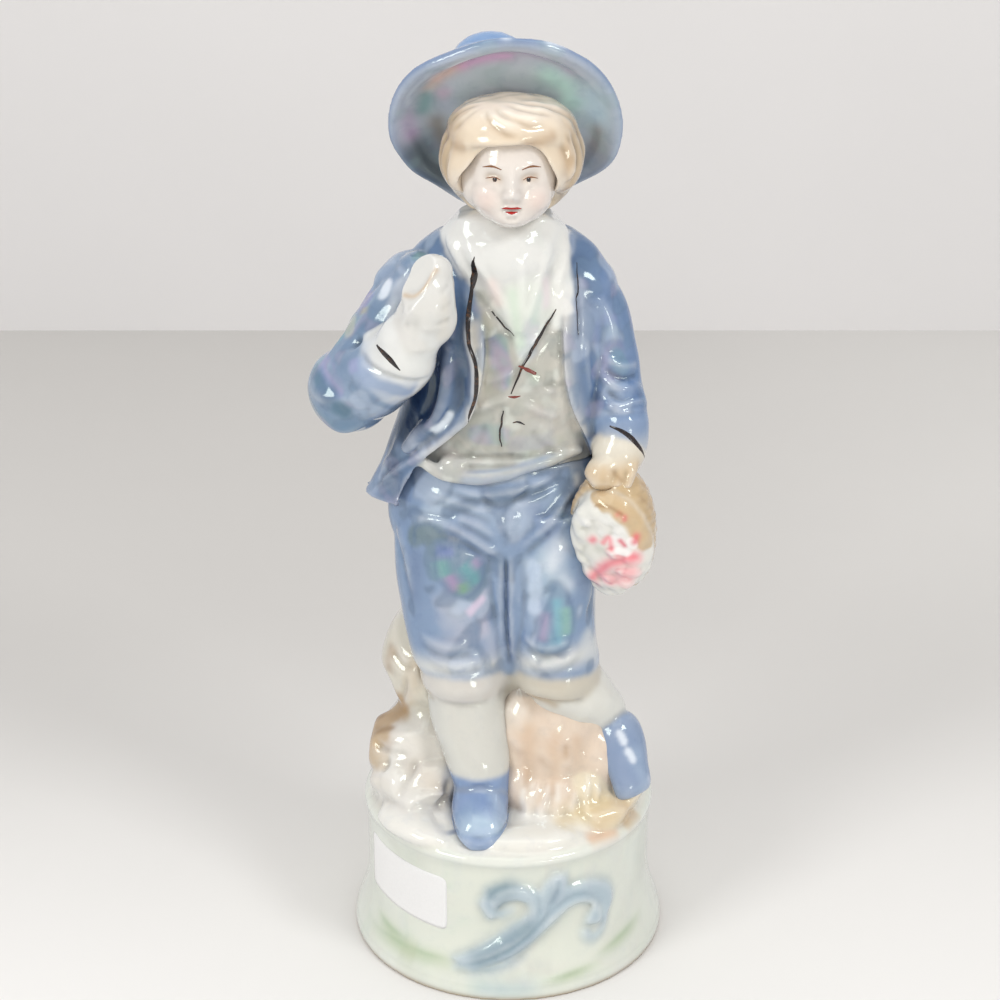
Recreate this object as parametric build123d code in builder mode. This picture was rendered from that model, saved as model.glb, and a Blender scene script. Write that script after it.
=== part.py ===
"""Slip-cast porcelain figurine of a boy in eighteenth-century dress on a round plinth.

Each block below is one casting, or one sprigged ornament, that the repairer
lutes to its neighbours with slip before the glaze firing.
Millimetres, +Z up, the figure faces -Y, origin at the centre of the foot.
"Right" and "left" are the boy's own: his right is -X and his left is +X.
"""

import os
from math import cos, pi, radians, sin

from build123d import *

os.makedirs("parts", exist_ok=True)

# ---------------------------------------------------------------- driving dimensions

# plinth
foot_radius = 46.0
foot_band = 3.0
flare_height = 22.0
waist_radius = 41.6
rim_radius = 42.2
rim_band = 4.0
rim_round = 1.2
plinth_height = 44.0
plinth_wall = 4.0
relief_height = 1.5

# heights up the figure, each measured from the level below it
shin_length = 40.0
thigh_length = 64.0
torso_length = 50.0
neck_length = 17.5
head_length = 32.5

# rocks
turf_depth = 3.5
turf_radius = 41.0
lower_rock_height = 22.0
upper_rock_height = 30.0
bank_height = 36.0
step_height = 20.0

# legs
right_leg_x = -13.0
left_leg_x = 13.5
knee_y = -8.0
knee_half_width = 12.6
calf_half_width = 10.6
ankle_radius = 8.4
knee_band_height = 8.0
thigh_half_width = 15.6
hip_half_width = 29.0
hip_depth = 15.5
hip_shift = -4.0
shoe_length = 27.0
shoe_half_width = 7.8
shoe_height = 16.0

# trunk
waist_half_width = 24.0
waist_depth = 13.0
chest_half_width = 22.5
chest_depth = 14.5
coat_skirt_half_width = 34.0
coat_skirt_depth = 18.0
coat_half_width = 28.5
coat_depth = 17.0
coat_neck_half_width = 18.0
shirt_cloth = 1.6
cast_wall = 4.0
neck_radius = 8.5
collar_half_width = 17.0

# arms
shoulder_radius = 11.0
elbow_radius = 11.6
cuff_radius = 9.2
wrist_radius = 6.2
fist_radius = 7.0
left_sleeve_radius = 8.2
left_cuff_radius = 6.8
cuff_length = 9.0

# head and hat
face_half_width = 12.2
hair_radius = 17.4
brim_radius = 29.8
brim_thickness = 2.6
brim_cup = 3.6
hat_tilt = 59.0
crown_radius = 17.5
crown_height = 17.0
crown_lean = 5.0

# straw basket of roses
basket_half_width = 12.5
basket_half_height = 21.5
straw_wall = 2.2
bouquet_rise = 4.0
rose_radius = 4.8

# ---------------------------------------------------------------- levels that follow

ground_z = plinth_height
knee_z = ground_z + shin_length
waist_z = knee_z + thigh_length
shoulder_z = waist_z + torso_length
chin_z = shoulder_z + neck_length
crown_z = chin_z + head_length

band_top = knee_z + knee_band_height / 2
band_foot = knee_z - knee_band_height / 2

SECTION_POINTS = 8


def shin(share):
    """Height that lies this share of the way from the ground to the knee."""
    return ground_z + share * shin_length


def thigh(share):
    """Height that lies this share of the way from the knee to the waist."""
    return knee_z + share * thigh_length


def trunk(share):
    """Height that lies this share of the way from the waist to the shoulders."""
    return waist_z + share * torso_length


# ---------------------------------------------------------------- ways of shaping clay

def section(plane, half_width, front, back=None, rise=0.0):
    """Face of one closed section, wider across than deep, its front towards -Y."""
    turns = [2 * pi * k / SECTION_POINTS for k in range(SECTION_POINTS)]
    with BuildSketch(plane) as sketch:
        with BuildLine():
            Spline(
                *[
                    (half_width * cos(t), rise + ((back or front) if sin(t) > 0 else front) * sin(t))
                    for t in turns
                ],
                periodic=True,
            )
        make_face()
    return sketch.sketch.face()


def cast_form(stations, wall=0.0, mode=Mode.ADD):
    """Lofts level sections; a wall takes that much off each of them all round."""
    faces = [
        section(Plane(origin=centre), half_width - wall, front - wall, back - wall)
        for centre, half_width, front, back in stations
    ]
    loft(faces, mode=mode)


def limb(stations):
    """Lofts round sections square to the line through their centres."""
    centres = [Vector(*centre) for centre, _ in stations]
    last = len(centres) - 1
    faces = []
    for k, (_, radius) in enumerate(stations):
        way = centres[min(k + 1, last)] - centres[max(k - 1, 0)]
        faces.append(section(Plane(origin=centres[k], x_dir=(1, 0, 0), z_dir=way), radius, radius))
    loft(faces)


def egg(centre, radius, half_length, lean=Vector(0, 0, 1), mode=Mode.ADD):
    """Turns an egg about its long axis, which may lean to one side."""
    with BuildSketch(Plane(origin=centre, x_dir=Vector(0, 1, 0).cross(lean), z_dir=(0, -1, 0))) as outline:
        Ellipse(radius, half_length)
        with Locations((-radius, 0)):
            Rectangle(2 * radius, 3 * half_length, mode=Mode.SUBTRACT)
    revolve(outline.sketch.face(), axis=Axis(centre, lean), mode=mode)


def cut_away(*pieces):
    """Takes the seats of neighbouring pieces out of the open part."""
    for piece in pieces:
        add(piece.part, mode=Mode.SUBTRACT)


def keep(name, piece):
    """Labels a finished piece and writes it out."""
    piece.part.label = name
    export_step(piece.part, f"parts/{name}.step")
    print(name, len(piece.part.solids()), round(piece.part.volume, 1), flush=True)


# ---------------------------------------------------------------- plinth

def plinth_side(grow=0.0):
    """Outline of the plinth's flared side and rounded rim, from the foot upwards."""
    foot = foot_radius + grow
    waist = waist_radius + grow
    rim = rim_radius + grow
    band_foot_z = plinth_height - rim_band
    round_foot_z = plinth_height - rim_round
    Line((foot, 0), (foot, foot_band))
    Spline((foot, foot_band), (waist, flare_height), tangents=[(-0.35, 1), (0, 1)])
    Line((waist, flare_height), (waist, band_foot_z))
    Line((waist, band_foot_z), (rim, band_foot_z + rim - waist))
    Line((rim, band_foot_z + rim - waist), (rim, round_foot_z))
    RadiusArc((rim, round_foot_z), (rim - rim_round, plinth_height), -rim_round)
    Polyline((rim - rim_round, plinth_height), (0, plinth_height), (0, 0), (foot, 0))


with BuildPart() as plinth:
    with BuildSketch(Plane.XZ):
        with BuildLine():
            plinth_side()
        make_face()
    revolve(axis=Axis.Z)
    with BuildSketch(Plane.XZ):
        with BuildLine():
            plinth_side(-plinth_wall)
        make_face()
        with Locations((0, plinth_height)):
            Rectangle(2 * foot_radius, 2 * plinth_wall, mode=Mode.SUBTRACT)
    revolve(axis=Axis.Z, mode=Mode.SUBTRACT)
keep("plinth", plinth)

# ---------------------------------------------------------------- scroll relief

with BuildPart() as relief_skin:
    with BuildSketch(Plane.XZ):
        with BuildLine():
            plinth_side(relief_height)
        make_face()
    revolve(axis=Axis.Z)
    with BuildSketch(Plane.XZ):
        with BuildLine():
            plinth_side()
        make_face()
    revolve(axis=Axis.Z, mode=Mode.SUBTRACT)

with BuildPart() as scroll_relief:
    with BuildSketch(Plane.XZ):
        # the long C scroll, tapered at its tail and rolled in at its head
        with BuildLine():
            Spline((-16, 11), (-4, 18.5), (5.5, 26), (14, 32), (21, 33.6), (28, 30), (29.5, 23), (25.5, 18.2))
            Spline((25.5, 18.2), (22, 20.8), (24, 24.5), (20.5, 27), (14, 24), (7, 18), (-3, 12.5), (-16, 11))
        make_face()
        # the short curl on its back
        with BuildLine():
            Spline((0, 15), (4, 21), (6, 26), (5, 30), (1, 31), (-3, 29), (-4.5, 25), (-8, 29))
            Spline((-8, 29), (-4, 34.5), (3, 35.5), (9, 32), (10, 26), (7, 19), (0, 15))
        make_face()
        # the bud between them
        with BuildLine():
            Spline((9, 26), (8.5, 32), (12, 37), (15.8, 37.6))
            Spline((15.8, 37.6), (16, 33), (14.5, 29), (9, 26))
        make_face()
    extrude(amount=foot_radius + relief_height)
    add(relief_skin.part, mode=Mode.INTERSECT)
keep("scroll_relief", scroll_relief)

# ---------------------------------------------------------------- shoes

SHOE_SHAPE = ((0, 0.72, 0.8), (0.28, 1, 1), (0.62, 1, 0.78), (0.88, 0.82, 0.58), (1, 0.45, 0.3))


def shoe(heel):
    """Rounded shoe; the plane's Z runs to the toe and its Y up the instep."""
    faces = []
    for along, width, height in SHOE_SHAPE:
        half_height = height * shoe_height / 2
        station = heel.offset(along * shoe_length)
        faces.append(section(station, width * shoe_half_width, half_height, rise=0.88 * half_height))
    loft(faces)
    split(bisect_by=Plane(origin=heel.origin, z_dir=heel.y_dir), keep=Keep.TOP)


right_ankle = Vector(right_leg_x + 5, -18, shin(0.32))
right_heel = Plane(origin=(right_ankle.X, right_ankle.Y + 7, ground_z), x_dir=(1, 0, 0), z_dir=(0, -1, 0))
with BuildPart() as right_shoe:
    shoe(right_heel)
keep("right_shoe", right_shoe)

left_ankle = Vector(left_leg_x + 16, -4, shin(0.66))
left_heel = Plane(origin=left_ankle - (3, -4, 8), x_dir=(0.88, 0.48, 0), z_dir=(0.32, -0.6, -0.55))
with BuildPart() as left_shoe:
    shoe(left_heel)
keep("left_shoe", left_shoe)

# ---------------------------------------------------------------- knee bands and breeches

right_thigh = (
    ((right_leg_x - 0.8, knee_y + 1, band_top), knee_half_width + 0.8, 12, 12),
    ((right_leg_x - 2.2, knee_y + 4, thigh(0.32)), thigh_half_width - 0.3, 14, 13),
    ((right_leg_x - 2.8, knee_y + 7, thigh(0.58)), thigh_half_width + 0.7, 15.5, 15),
    ((right_leg_x - 1, knee_y + 8, thigh(0.78)), thigh_half_width + 1.2, 15, 15),
)
left_thigh = (
    ((left_leg_x, knee_y + 1, band_top), knee_half_width, 12, 12),
    ((left_leg_x - 1.2, knee_y + 4, thigh(0.32)), thigh_half_width - 3.4, 13, 13),
    ((left_leg_x - 1, knee_y + 7, thigh(0.58)), thigh_half_width - 2.8, 15, 15),
    ((left_leg_x - 2.5, knee_y + 8, thigh(0.78)), thigh_half_width - 1.6, 15, 15),
)
waist_ring = ((-2, 0, waist_z), waist_half_width, waist_depth, waist_depth - 0.5)
pelvis = (
    ((hip_shift + 0.5, 0, thigh(0.6)), hip_half_width - 1, hip_depth, hip_depth),
    ((hip_shift, 0.5, thigh(0.82)), hip_half_width, hip_depth, hip_depth),
    waist_ring,
)

with BuildPart() as hips_form:
    cast_form(right_thigh)
    cast_form(left_thigh)
    cast_form(pelvis)

with BuildPart() as breeches:
    add(hips_form.part)
    cast_form(pelvis, wall=cast_wall, mode=Mode.SUBTRACT)
keep("breeches", breeches)


def knee_band(leg_x, half_width):
    """Gathered band that closes the breeches under the knee."""
    cast_form((
        ((leg_x, knee_y - 0.4, band_foot), half_width - 1.2, 11.2, 11),
        ((leg_x, knee_y, knee_z), half_width + 0.5, 12.8, 12),
        ((leg_x, knee_y + 1, band_top), half_width - 0.4, 11.6, 11.6),
    ))


with BuildPart() as right_knee_band:
    knee_band(right_leg_x, knee_half_width)
keep("right_knee_band", right_knee_band)

with BuildPart() as left_knee_band:
    knee_band(left_leg_x, knee_half_width)
keep("left_knee_band", left_knee_band)

# ---------------------------------------------------------------- stockings

with BuildPart() as right_stocking:
    cast_form((
        ((right_ankle.X, right_ankle.Y, ground_z), ankle_radius - 0.6, 7, 8),
        ((right_ankle.X, right_ankle.Y, right_ankle.Z), ankle_radius, 8, 8.5),
        ((right_leg_x + 2.5, knee_y - 5, shin(0.62)), calf_half_width, 9.5, 10.5),
        ((right_leg_x + 0.6, knee_y - 0.4, band_foot), calf_half_width, 10.2, 10.2),
    ))
    cut_away(right_shoe)
keep("right_stocking", right_stocking)

with BuildPart() as left_stocking:
    limb((
        ((left_leg_x, knee_y + 1, knee_z + 1), calf_half_width),
        ((left_leg_x + 5, knee_y + 1, shin(0.86)), calf_half_width),
        ((left_leg_x + 11, knee_y + 2, shin(0.72)), ankle_radius),
        (left_ankle - (1, 0, 2), ankle_radius - 1.5),
    ))
    cut_away(left_shoe, left_knee_band, hips_form)
keep("left_stocking", left_stocking)

# ---------------------------------------------------------------- rocks

lower_rock_top = ground_z + lower_rock_height
upper_rock_top = lower_rock_top + upper_rock_height
rock_joint = Plane.YZ.offset(1.5)
leg_castings = (right_shoe, left_shoe, right_stocking, left_stocking, right_knee_band, left_knee_band, hips_form)

with BuildPart() as turf:
    cast_form((
        ((0, 0, ground_z), turf_radius, turf_radius, turf_radius),
        ((0, 1, ground_z + turf_depth), turf_radius - 4, turf_radius - 9, turf_radius - 4),
    ))
    cut_away(*leg_castings)
keep("turf", turf)

with BuildPart() as lower_rock:
    cast_form((
        ((-17, 0, ground_z + turf_depth), 24, 18, 24),
        ((-18, 1, ground_z + 0.5 * lower_rock_height), 23, 17, 23),
        ((-17, 3, lower_rock_top), 16.5, 15, 19),
    ))
    split(bisect_by=rock_joint, keep=Keep.BOTTOM)
    cut_away(*leg_castings)
keep("lower_rock", lower_rock)

with BuildPart() as upper_rock:
    cast_form((
        ((-17, 3, lower_rock_top), 16.5, 13, 19),
        ((-19, 5, lower_rock_top + 0.5 * upper_rock_height), 18, 12, 17),
        ((-20, 7, upper_rock_top), 11.5, 8, 12),
    ))
    split(bisect_by=rock_joint, keep=Keep.BOTTOM)
    cut_away(*leg_castings)
keep("upper_rock", upper_rock)

with BuildPart() as tree_stump:
    cast_form((
        ((14, -4, ground_z + turf_depth), 20, 20, 24),
        ((13, -1, ground_z + 0.5 * bank_height), 15, 13, 20),
        ((12, 2, ground_z + bank_height), 11, 10, 14),
    ))
    split(bisect_by=rock_joint, keep=Keep.TOP)
    cut_away(*leg_castings)
keep("tree_stump", tree_stump)

with BuildPart() as step_rock:
    cast_form((
        ((30, -6, ground_z + turf_depth), 10.5, 18, 18),
        ((30, -4, ground_z + 0.5 * step_height), 9.5, 15, 16),
        ((29, 0, ground_z + step_height), 7, 9, 12),
    ))
    cut_away(tree_stump, *leg_castings)
keep("step_rock", step_rock)

# ---------------------------------------------------------------- waistcoat, shirt and jacket

body = (
    waist_ring,
    ((0, -0.5, trunk(0.2)), waist_half_width - 1, waist_depth + 1, waist_depth),
    ((1, -1, trunk(0.55)), chest_half_width, chest_depth, chest_depth - 1),
    ((1, 0, trunk(0.88)), chest_half_width - 1.5, chest_depth - 2.5, chest_depth - 2.5),
    ((0.5, 1, trunk(1.08)), neck_radius + 5, neck_radius + 1, neck_radius + 1),
)

with BuildPart() as waistcoat:
    cast_form(body)
    cast_form(body[:-1], wall=cast_wall, mode=Mode.SUBTRACT)
keep("waistcoat", waistcoat)

with BuildPart() as trunk_form:
    cast_form(body)

neck_foot = trunk(0.92)
with BuildPart() as head_form:
    egg((0.5, -9, chin_z + 0.42 * head_length), face_half_width, 0.45 * head_length)
    limb((
        ((0.5, 0, neck_foot), neck_radius),
        ((0.5, -3, chin_z), neck_radius),
        ((0.5, -6, chin_z + 0.3 * head_length), neck_radius),
    ))

with BuildPart() as shirt_front:
    cast_form(body, wall=-shirt_cloth)
    with BuildSketch(Plane.XZ):
        Polygon(
            (-9, trunk(1.02)), (2.8, trunk(0.76)), (15, trunk(1.02)),
            align=None,
        )
    extrude(amount=2 * chest_depth, mode=Mode.INTERSECT)
    cut_away(trunk_form, head_form)
keep("shirt_front", shirt_front)

coat = (
    ((-6, 1, thigh(0.82)), coat_skirt_half_width, coat_skirt_depth - 1, coat_skirt_depth + 1),
    ((-4, 1, waist_z - 2), coat_skirt_half_width - 3, coat_skirt_depth - 1, coat_skirt_depth),
    ((-1, 0, trunk(0.24)), coat_half_width + 0.5, coat_depth + 0.5, coat_depth),
    ((0, 0, trunk(0.64)), coat_half_width, coat_depth, coat_depth - 0.5),
    ((-1, 0.5, trunk(0.96)), coat_half_width + 0.5, coat_depth - 2.5, coat_depth - 3),
    ((-1, 1, trunk(1.1)), coat_half_width - 2.5, coat_depth - 4.5, coat_depth - 4),
    ((-1, 1, trunk(1.25)), coat_neck_half_width, coat_depth - 6, coat_depth - 5.5),
)
opening_right = ((-9, trunk(1.3)), (-8.6, trunk(1.1)), (-10, trunk(0.36)), (-20, trunk(0.12)), (-31, thigh(0.78)))
opening_left = ((25, thigh(0.78)), (21.5, trunk(0.1)), (16, trunk(0.4)), (15, trunk(1.1)), (15.5, trunk(1.3)))

with BuildPart() as coat_form:
    cast_form(coat)

with BuildPart() as jacket:
    cast_form(coat)
    with BuildSketch(Plane.XZ):
        with BuildLine():
            Spline(*opening_right)
            Line(opening_right[-1], opening_left[0])
            Spline(*opening_left)
            Line(opening_left[-1], opening_right[0])
        make_face()
    extrude(amount=2 * coat_skirt_depth, mode=Mode.SUBTRACT)
    cut_away(trunk_form, hips_form, head_form, shirt_front)
keep("jacket", jacket)

collar_foot = trunk(0.97)
collar_top = chin_z + 1
with BuildPart() as collar:
    cast_form((
        ((-1, -0.5, collar_foot), collar_half_width + 1, 14, 11),
        ((-1.2, -1.5, trunk(1.15)), collar_half_width, 13, 11),
        ((-1, -3, collar_top), collar_half_width - 0.5, 9.5, 10),
    ))
    cut_away(trunk_form, head_form, coat_form, shirt_front)
keep("collar", collar)

# ---------------------------------------------------------------- head, hair and hat

with BuildPart() as head:
    add(head_form.part)
    cut_away(trunk_form)
keep("head", head)

hat_middle = Vector(-1, 6, chin_z + 0.68 * head_length)
hat_axis = Vector(0, sin(radians(hat_tilt)), cos(radians(hat_tilt)))
brim_bend = crown_radius + 1.5
hat_section = Plane(origin=hat_middle, x_dir=(1, 0, 0), z_dir=Vector(1, 0, 0).cross(hat_axis))

with BuildPart() as hat_brim:
    with BuildSketch(hat_section):
        with BuildLine():
            Line((0, 0), (brim_bend, 0))
            Spline(
                (brim_bend, 0),
                (0.5 * (brim_bend + brim_radius), -0.3 * brim_cup),
                (brim_radius - brim_thickness / 2, -brim_cup),
                tangents=[(1, 0), (1, -0.5)],
            )
            TangentArc(
                (brim_radius - brim_thickness / 2, -brim_cup),
                (brim_radius, -brim_cup + brim_thickness),
                tangent=(1, -0.5),
            )
            Spline(
                (brim_radius, -brim_cup + brim_thickness),
                (0.5 * (brim_bend + brim_radius), -0.3 * brim_cup + brim_thickness),
                (brim_bend, brim_thickness),
                tangents=[(-1, 0.5), (-1, 0)],
            )
            Polyline((brim_bend, brim_thickness), (0, brim_thickness), (0, 0))
        make_face()
    revolve(axis=Axis(hat_middle, hat_axis))
    cut_away(head_form)
keep("hat_brim", hat_brim)

crown_seat = Plane(origin=hat_middle + hat_axis * brim_thickness, x_dir=(1, 0, 0), z_dir=hat_axis)
with BuildPart() as hat_crown:
    faces = []
    for share, width in ((0, 1), (0.45, 0.97), (0.8, 0.8), (1, 0.45)):
        with BuildSketch(crown_seat.offset(share * crown_height)) as level:
            with Locations((-crown_lean * share, 0)):
                Circle(width * crown_radius)
        faces.append(level.sketch.face())
    loft(faces)
keep("hat_crown", hat_crown)

with BuildPart() as hair:
    with Locations((0.5, hair_radius - 23, crown_z - hair_radius)):
        Sphere(hair_radius)
    split(bisect_by=Plane(origin=hat_middle, z_dir=hat_axis), keep=Keep.BOTTOM)
    split(bisect_by=Plane.XY.offset(collar_top), keep=Keep.TOP)
    with BuildSketch(Plane.XZ.offset(9)):
        with Locations((0.5, chin_z + 0.28 * head_length)):
            Ellipse(face_half_width - 1, 0.36 * head_length)
    extrude(amount=2 * hair_radius, mode=Mode.SUBTRACT)
    cut_away(head_form)
keep("hair", hair)

# ---------------------------------------------------------------- arms

right_shoulder = Vector(-24.5, 0, trunk(0.92))
right_elbow = Vector(-42, -9, trunk(0.43))
right_cuff_seat = Vector(-30, -17.5, trunk(0.62))
right_wrist = Vector(-24.2, -23, trunk(0.81))
right_fist = Vector(-20.5, -23.5, trunk(0.99))

with BuildPart() as right_hand:
    egg(right_fist, fist_radius, 1.35 * fist_radius)
    limb((
        (right_wrist - (0, 0, 3), wrist_radius),
        (right_wrist, wrist_radius),
        (right_fist, wrist_radius - 1),
    ))
    cut_away(coat_form, collar, shirt_front, trunk_form)
keep("right_hand", right_hand)

with BuildPart() as right_cuff:
    limb((
        (right_cuff_seat - (right_cuff_seat - right_elbow) * 0.2, cuff_radius + 0.8),
        (right_cuff_seat, cuff_radius + 0.6),
        (right_wrist - (0.5, 0, 3), wrist_radius + 1.2),
    ))
    cut_away(right_hand, coat_form, trunk_form)
keep("right_cuff", right_cuff)

with BuildPart() as right_sleeve:
    with Locations(right_shoulder):
        Sphere(shoulder_radius)
    limb((
        (right_shoulder, shoulder_radius - 1),
        ((-32, -3, trunk(0.7)), shoulder_radius - 1),
        (right_elbow, elbow_radius - 1),
    ))
    with Locations(right_elbow):
        Sphere(elbow_radius)
    limb((
        (right_elbow, elbow_radius - 1.2),
        (right_elbow + (right_cuff_seat - right_elbow) * 0.5, elbow_radius - 0.8),
        (right_cuff_seat, cuff_radius),
    ))
    cut_away(coat_form, right_cuff, right_hand, trunk_form)
keep("right_sleeve", right_sleeve)

left_shoulder = Vector(19, 0, trunk(0.93))
left_wrist = Vector(31, -10.5, trunk(0.1))
left_grip = Vector(26, -17, trunk(0.02))
with BuildPart() as left_hand:
    limb((
        (left_wrist + (0, 1, 3), left_cuff_radius - 1.5),
        (left_wrist - (1, 2, 2), left_cuff_radius - 1),
        (left_grip + (1, 1, 0), left_cuff_radius - 1.4),
        (left_grip - (3, 1.5, 1), left_cuff_radius - 2.6),
        (left_grip - (5, 2.2, 2), left_cuff_radius - 4.6),
    ))
    cut_away(coat_form, hips_form, trunk_form)
keep("left_hand", left_hand)

with BuildPart() as left_cuff:
    limb((
        (left_wrist, left_cuff_radius),
        (left_wrist + (-0.6, 2, cuff_length), left_cuff_radius + 0.8),
    ))
    cut_away(left_hand, coat_form, trunk_form)
keep("left_cuff", left_cuff)

with BuildPart() as left_sleeve:
    with Locations(left_shoulder):
        Sphere(shoulder_radius - 1)
    limb((
        (left_shoulder, shoulder_radius - 2),
        ((25, -0.5, trunk(0.68)), left_sleeve_radius + 0.4),
        ((28, -4, trunk(0.4)), left_sleeve_radius),
        (left_wrist + (-0.6, 2, cuff_length), left_cuff_radius + 0.6),
    ))
    cut_away(coat_form, left_cuff, left_hand, trunk_form)
keep("left_sleeve", left_sleeve)

# ---------------------------------------------------------------- basket of roses

basket_lean = Vector(0.08, 0, 1).normalized()
basket_middle = left_grip + (1.5, 2, -0.95 * basket_half_height)
basket_mouth = Plane(origin=basket_middle, x_dir=(0.9, -0.43, 0), z_dir=(-0.42, -0.85, -0.32))
bouquet_face = basket_mouth.offset(bouquet_rise)

with BuildPart() as basket:
    egg(basket_middle, basket_half_width, basket_half_height, basket_lean)
    egg(basket_middle, basket_half_width - straw_wall, basket_half_height - straw_wall, basket_lean, Mode.SUBTRACT)
    split(bisect_by=basket_mouth, keep=Keep.BOTTOM)
    cut_away(left_hand, left_cuff, hips_form, coat_form)
keep("basket", basket)

with BuildPart() as leaves:
    egg(basket_middle, basket_half_width - straw_wall, basket_half_height - straw_wall, basket_lean)
    split(bisect_by=bouquet_face, keep=Keep.BOTTOM)
    cut_away(basket, hips_form, left_hand, coat_form)
keep("leaves", leaves)

with BuildPart() as roses:
    with Locations(bouquet_face.from_local_coords((3, 0, 0))):
        Sphere(rose_radius)
    for turn in (-25, -75, -125):
        spot = (3 + 1.5 * rose_radius * cos(radians(turn)), 1.7 * rose_radius * sin(radians(turn)), 0)
        with Locations(bouquet_face.from_local_coords(spot)):
            Sphere(0.75 * rose_radius)
    cut_away(leaves, basket, hips_form, left_hand)
keep("roses", roses)

with BuildPart() as blossoms:
    for turn in (80, 130, 180):
        spot = (3 + 1.6 * rose_radius * cos(radians(turn)), 1.7 * rose_radius * sin(radians(turn)), 0)
        with Locations(bouquet_face.from_local_coords(spot)):
            Sphere(0.65 * rose_radius)
    cut_away(roses, leaves, basket, hips_form, left_hand)
keep("blossoms", blossoms)
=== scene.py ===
"""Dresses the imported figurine: a boy in a lustre-glazed blue suit on a round plinth."""
import math

import bmesh
import bpy
import numpy as np
from mathutils import Euler, Matrix, Vector, bvhtree


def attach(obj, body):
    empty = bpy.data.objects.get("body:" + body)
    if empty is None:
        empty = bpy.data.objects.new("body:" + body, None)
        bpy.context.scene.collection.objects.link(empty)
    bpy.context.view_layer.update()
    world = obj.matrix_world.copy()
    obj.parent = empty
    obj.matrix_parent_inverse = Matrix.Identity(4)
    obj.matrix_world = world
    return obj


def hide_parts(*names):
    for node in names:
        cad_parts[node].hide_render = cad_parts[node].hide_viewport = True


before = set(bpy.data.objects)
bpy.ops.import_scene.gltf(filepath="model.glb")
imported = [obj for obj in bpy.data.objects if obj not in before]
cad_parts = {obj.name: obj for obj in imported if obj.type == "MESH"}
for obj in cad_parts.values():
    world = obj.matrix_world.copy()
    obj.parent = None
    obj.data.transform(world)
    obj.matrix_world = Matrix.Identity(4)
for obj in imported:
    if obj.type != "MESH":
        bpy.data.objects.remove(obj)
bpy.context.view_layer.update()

# ------------------------------------------------------------
# Plinth, its scroll, and the rockwork. One hollow slip casting in porcelain clay, with the
# rocks, the stump and the turf luted on while leather-hard. Pearl glaze over the plinth,
# airbrushed tan and brown on the rocks, blue on the scroll, and a bare biscuit foot.
MM = 0.001


def linear(colour):
    """A colour written as 0 to 255 screen values, as the light values that a glaze holds."""
    share = np.array(colour, float) / 255
    return np.where(share <= 0.04045, share / 12.92, ((share + 0.055) / 1.055) ** 2.4)


def smooth_line(points, step):
    """Points a small step apart on a smooth line through the given ones."""
    knots = np.array(points, float).reshape(-1, 3)
    if len(knots) == 1:
        return np.vstack([knots, knots + (0, 0, 0.01)])
    ends = np.vstack([2 * knots[0] - knots[1], knots, 2 * knots[-1] - knots[-2]])
    runs = []
    for before, start, end, after in zip(ends, ends[1:], ends[2:], ends[3:]):
        count = max(2, int(np.linalg.norm(end - start) / step))
        t = np.linspace(0, 1, count, endpoint=False)[:, None]
        bend = 2 * before - 5 * start + 4 * end - after
        turn = 3 * start - before - 3 * end + after
        runs.append(0.5 * (2 * start + (end - before) * t + bend * t ** 2 + turn * t ** 3))
    return np.vstack(runs + [knots[-1:]])


def fade(share, ends):
    """1 along a line, easing to 0 over a share of its length at both ends."""
    if not ends:
        return np.ones_like(share)
    ease = np.clip(np.minimum(share, 1 - share) / ends, 0, 1)
    return ease * ease * (3 - 2 * ease)


def stand(name, clay, material):
    """Sets a finished shape in the scene under a name, smooth and in one material."""
    for face in clay.faces:
        face.smooth = True
    mesh = bpy.data.meshes.new(name)
    clay.to_mesh(mesh)
    clay.free()
    mesh.materials.append(material)
    piece = bpy.data.objects.new(name, mesh)
    bpy.context.scene.collection.objects.link(piece)
    return piece


def column(items, key, kind=np.int32, wide=1):
    """One value of every item of a mesh."""
    values = np.empty(len(items) * wide, kind)
    items.foreach_get(key, values)
    return values


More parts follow.
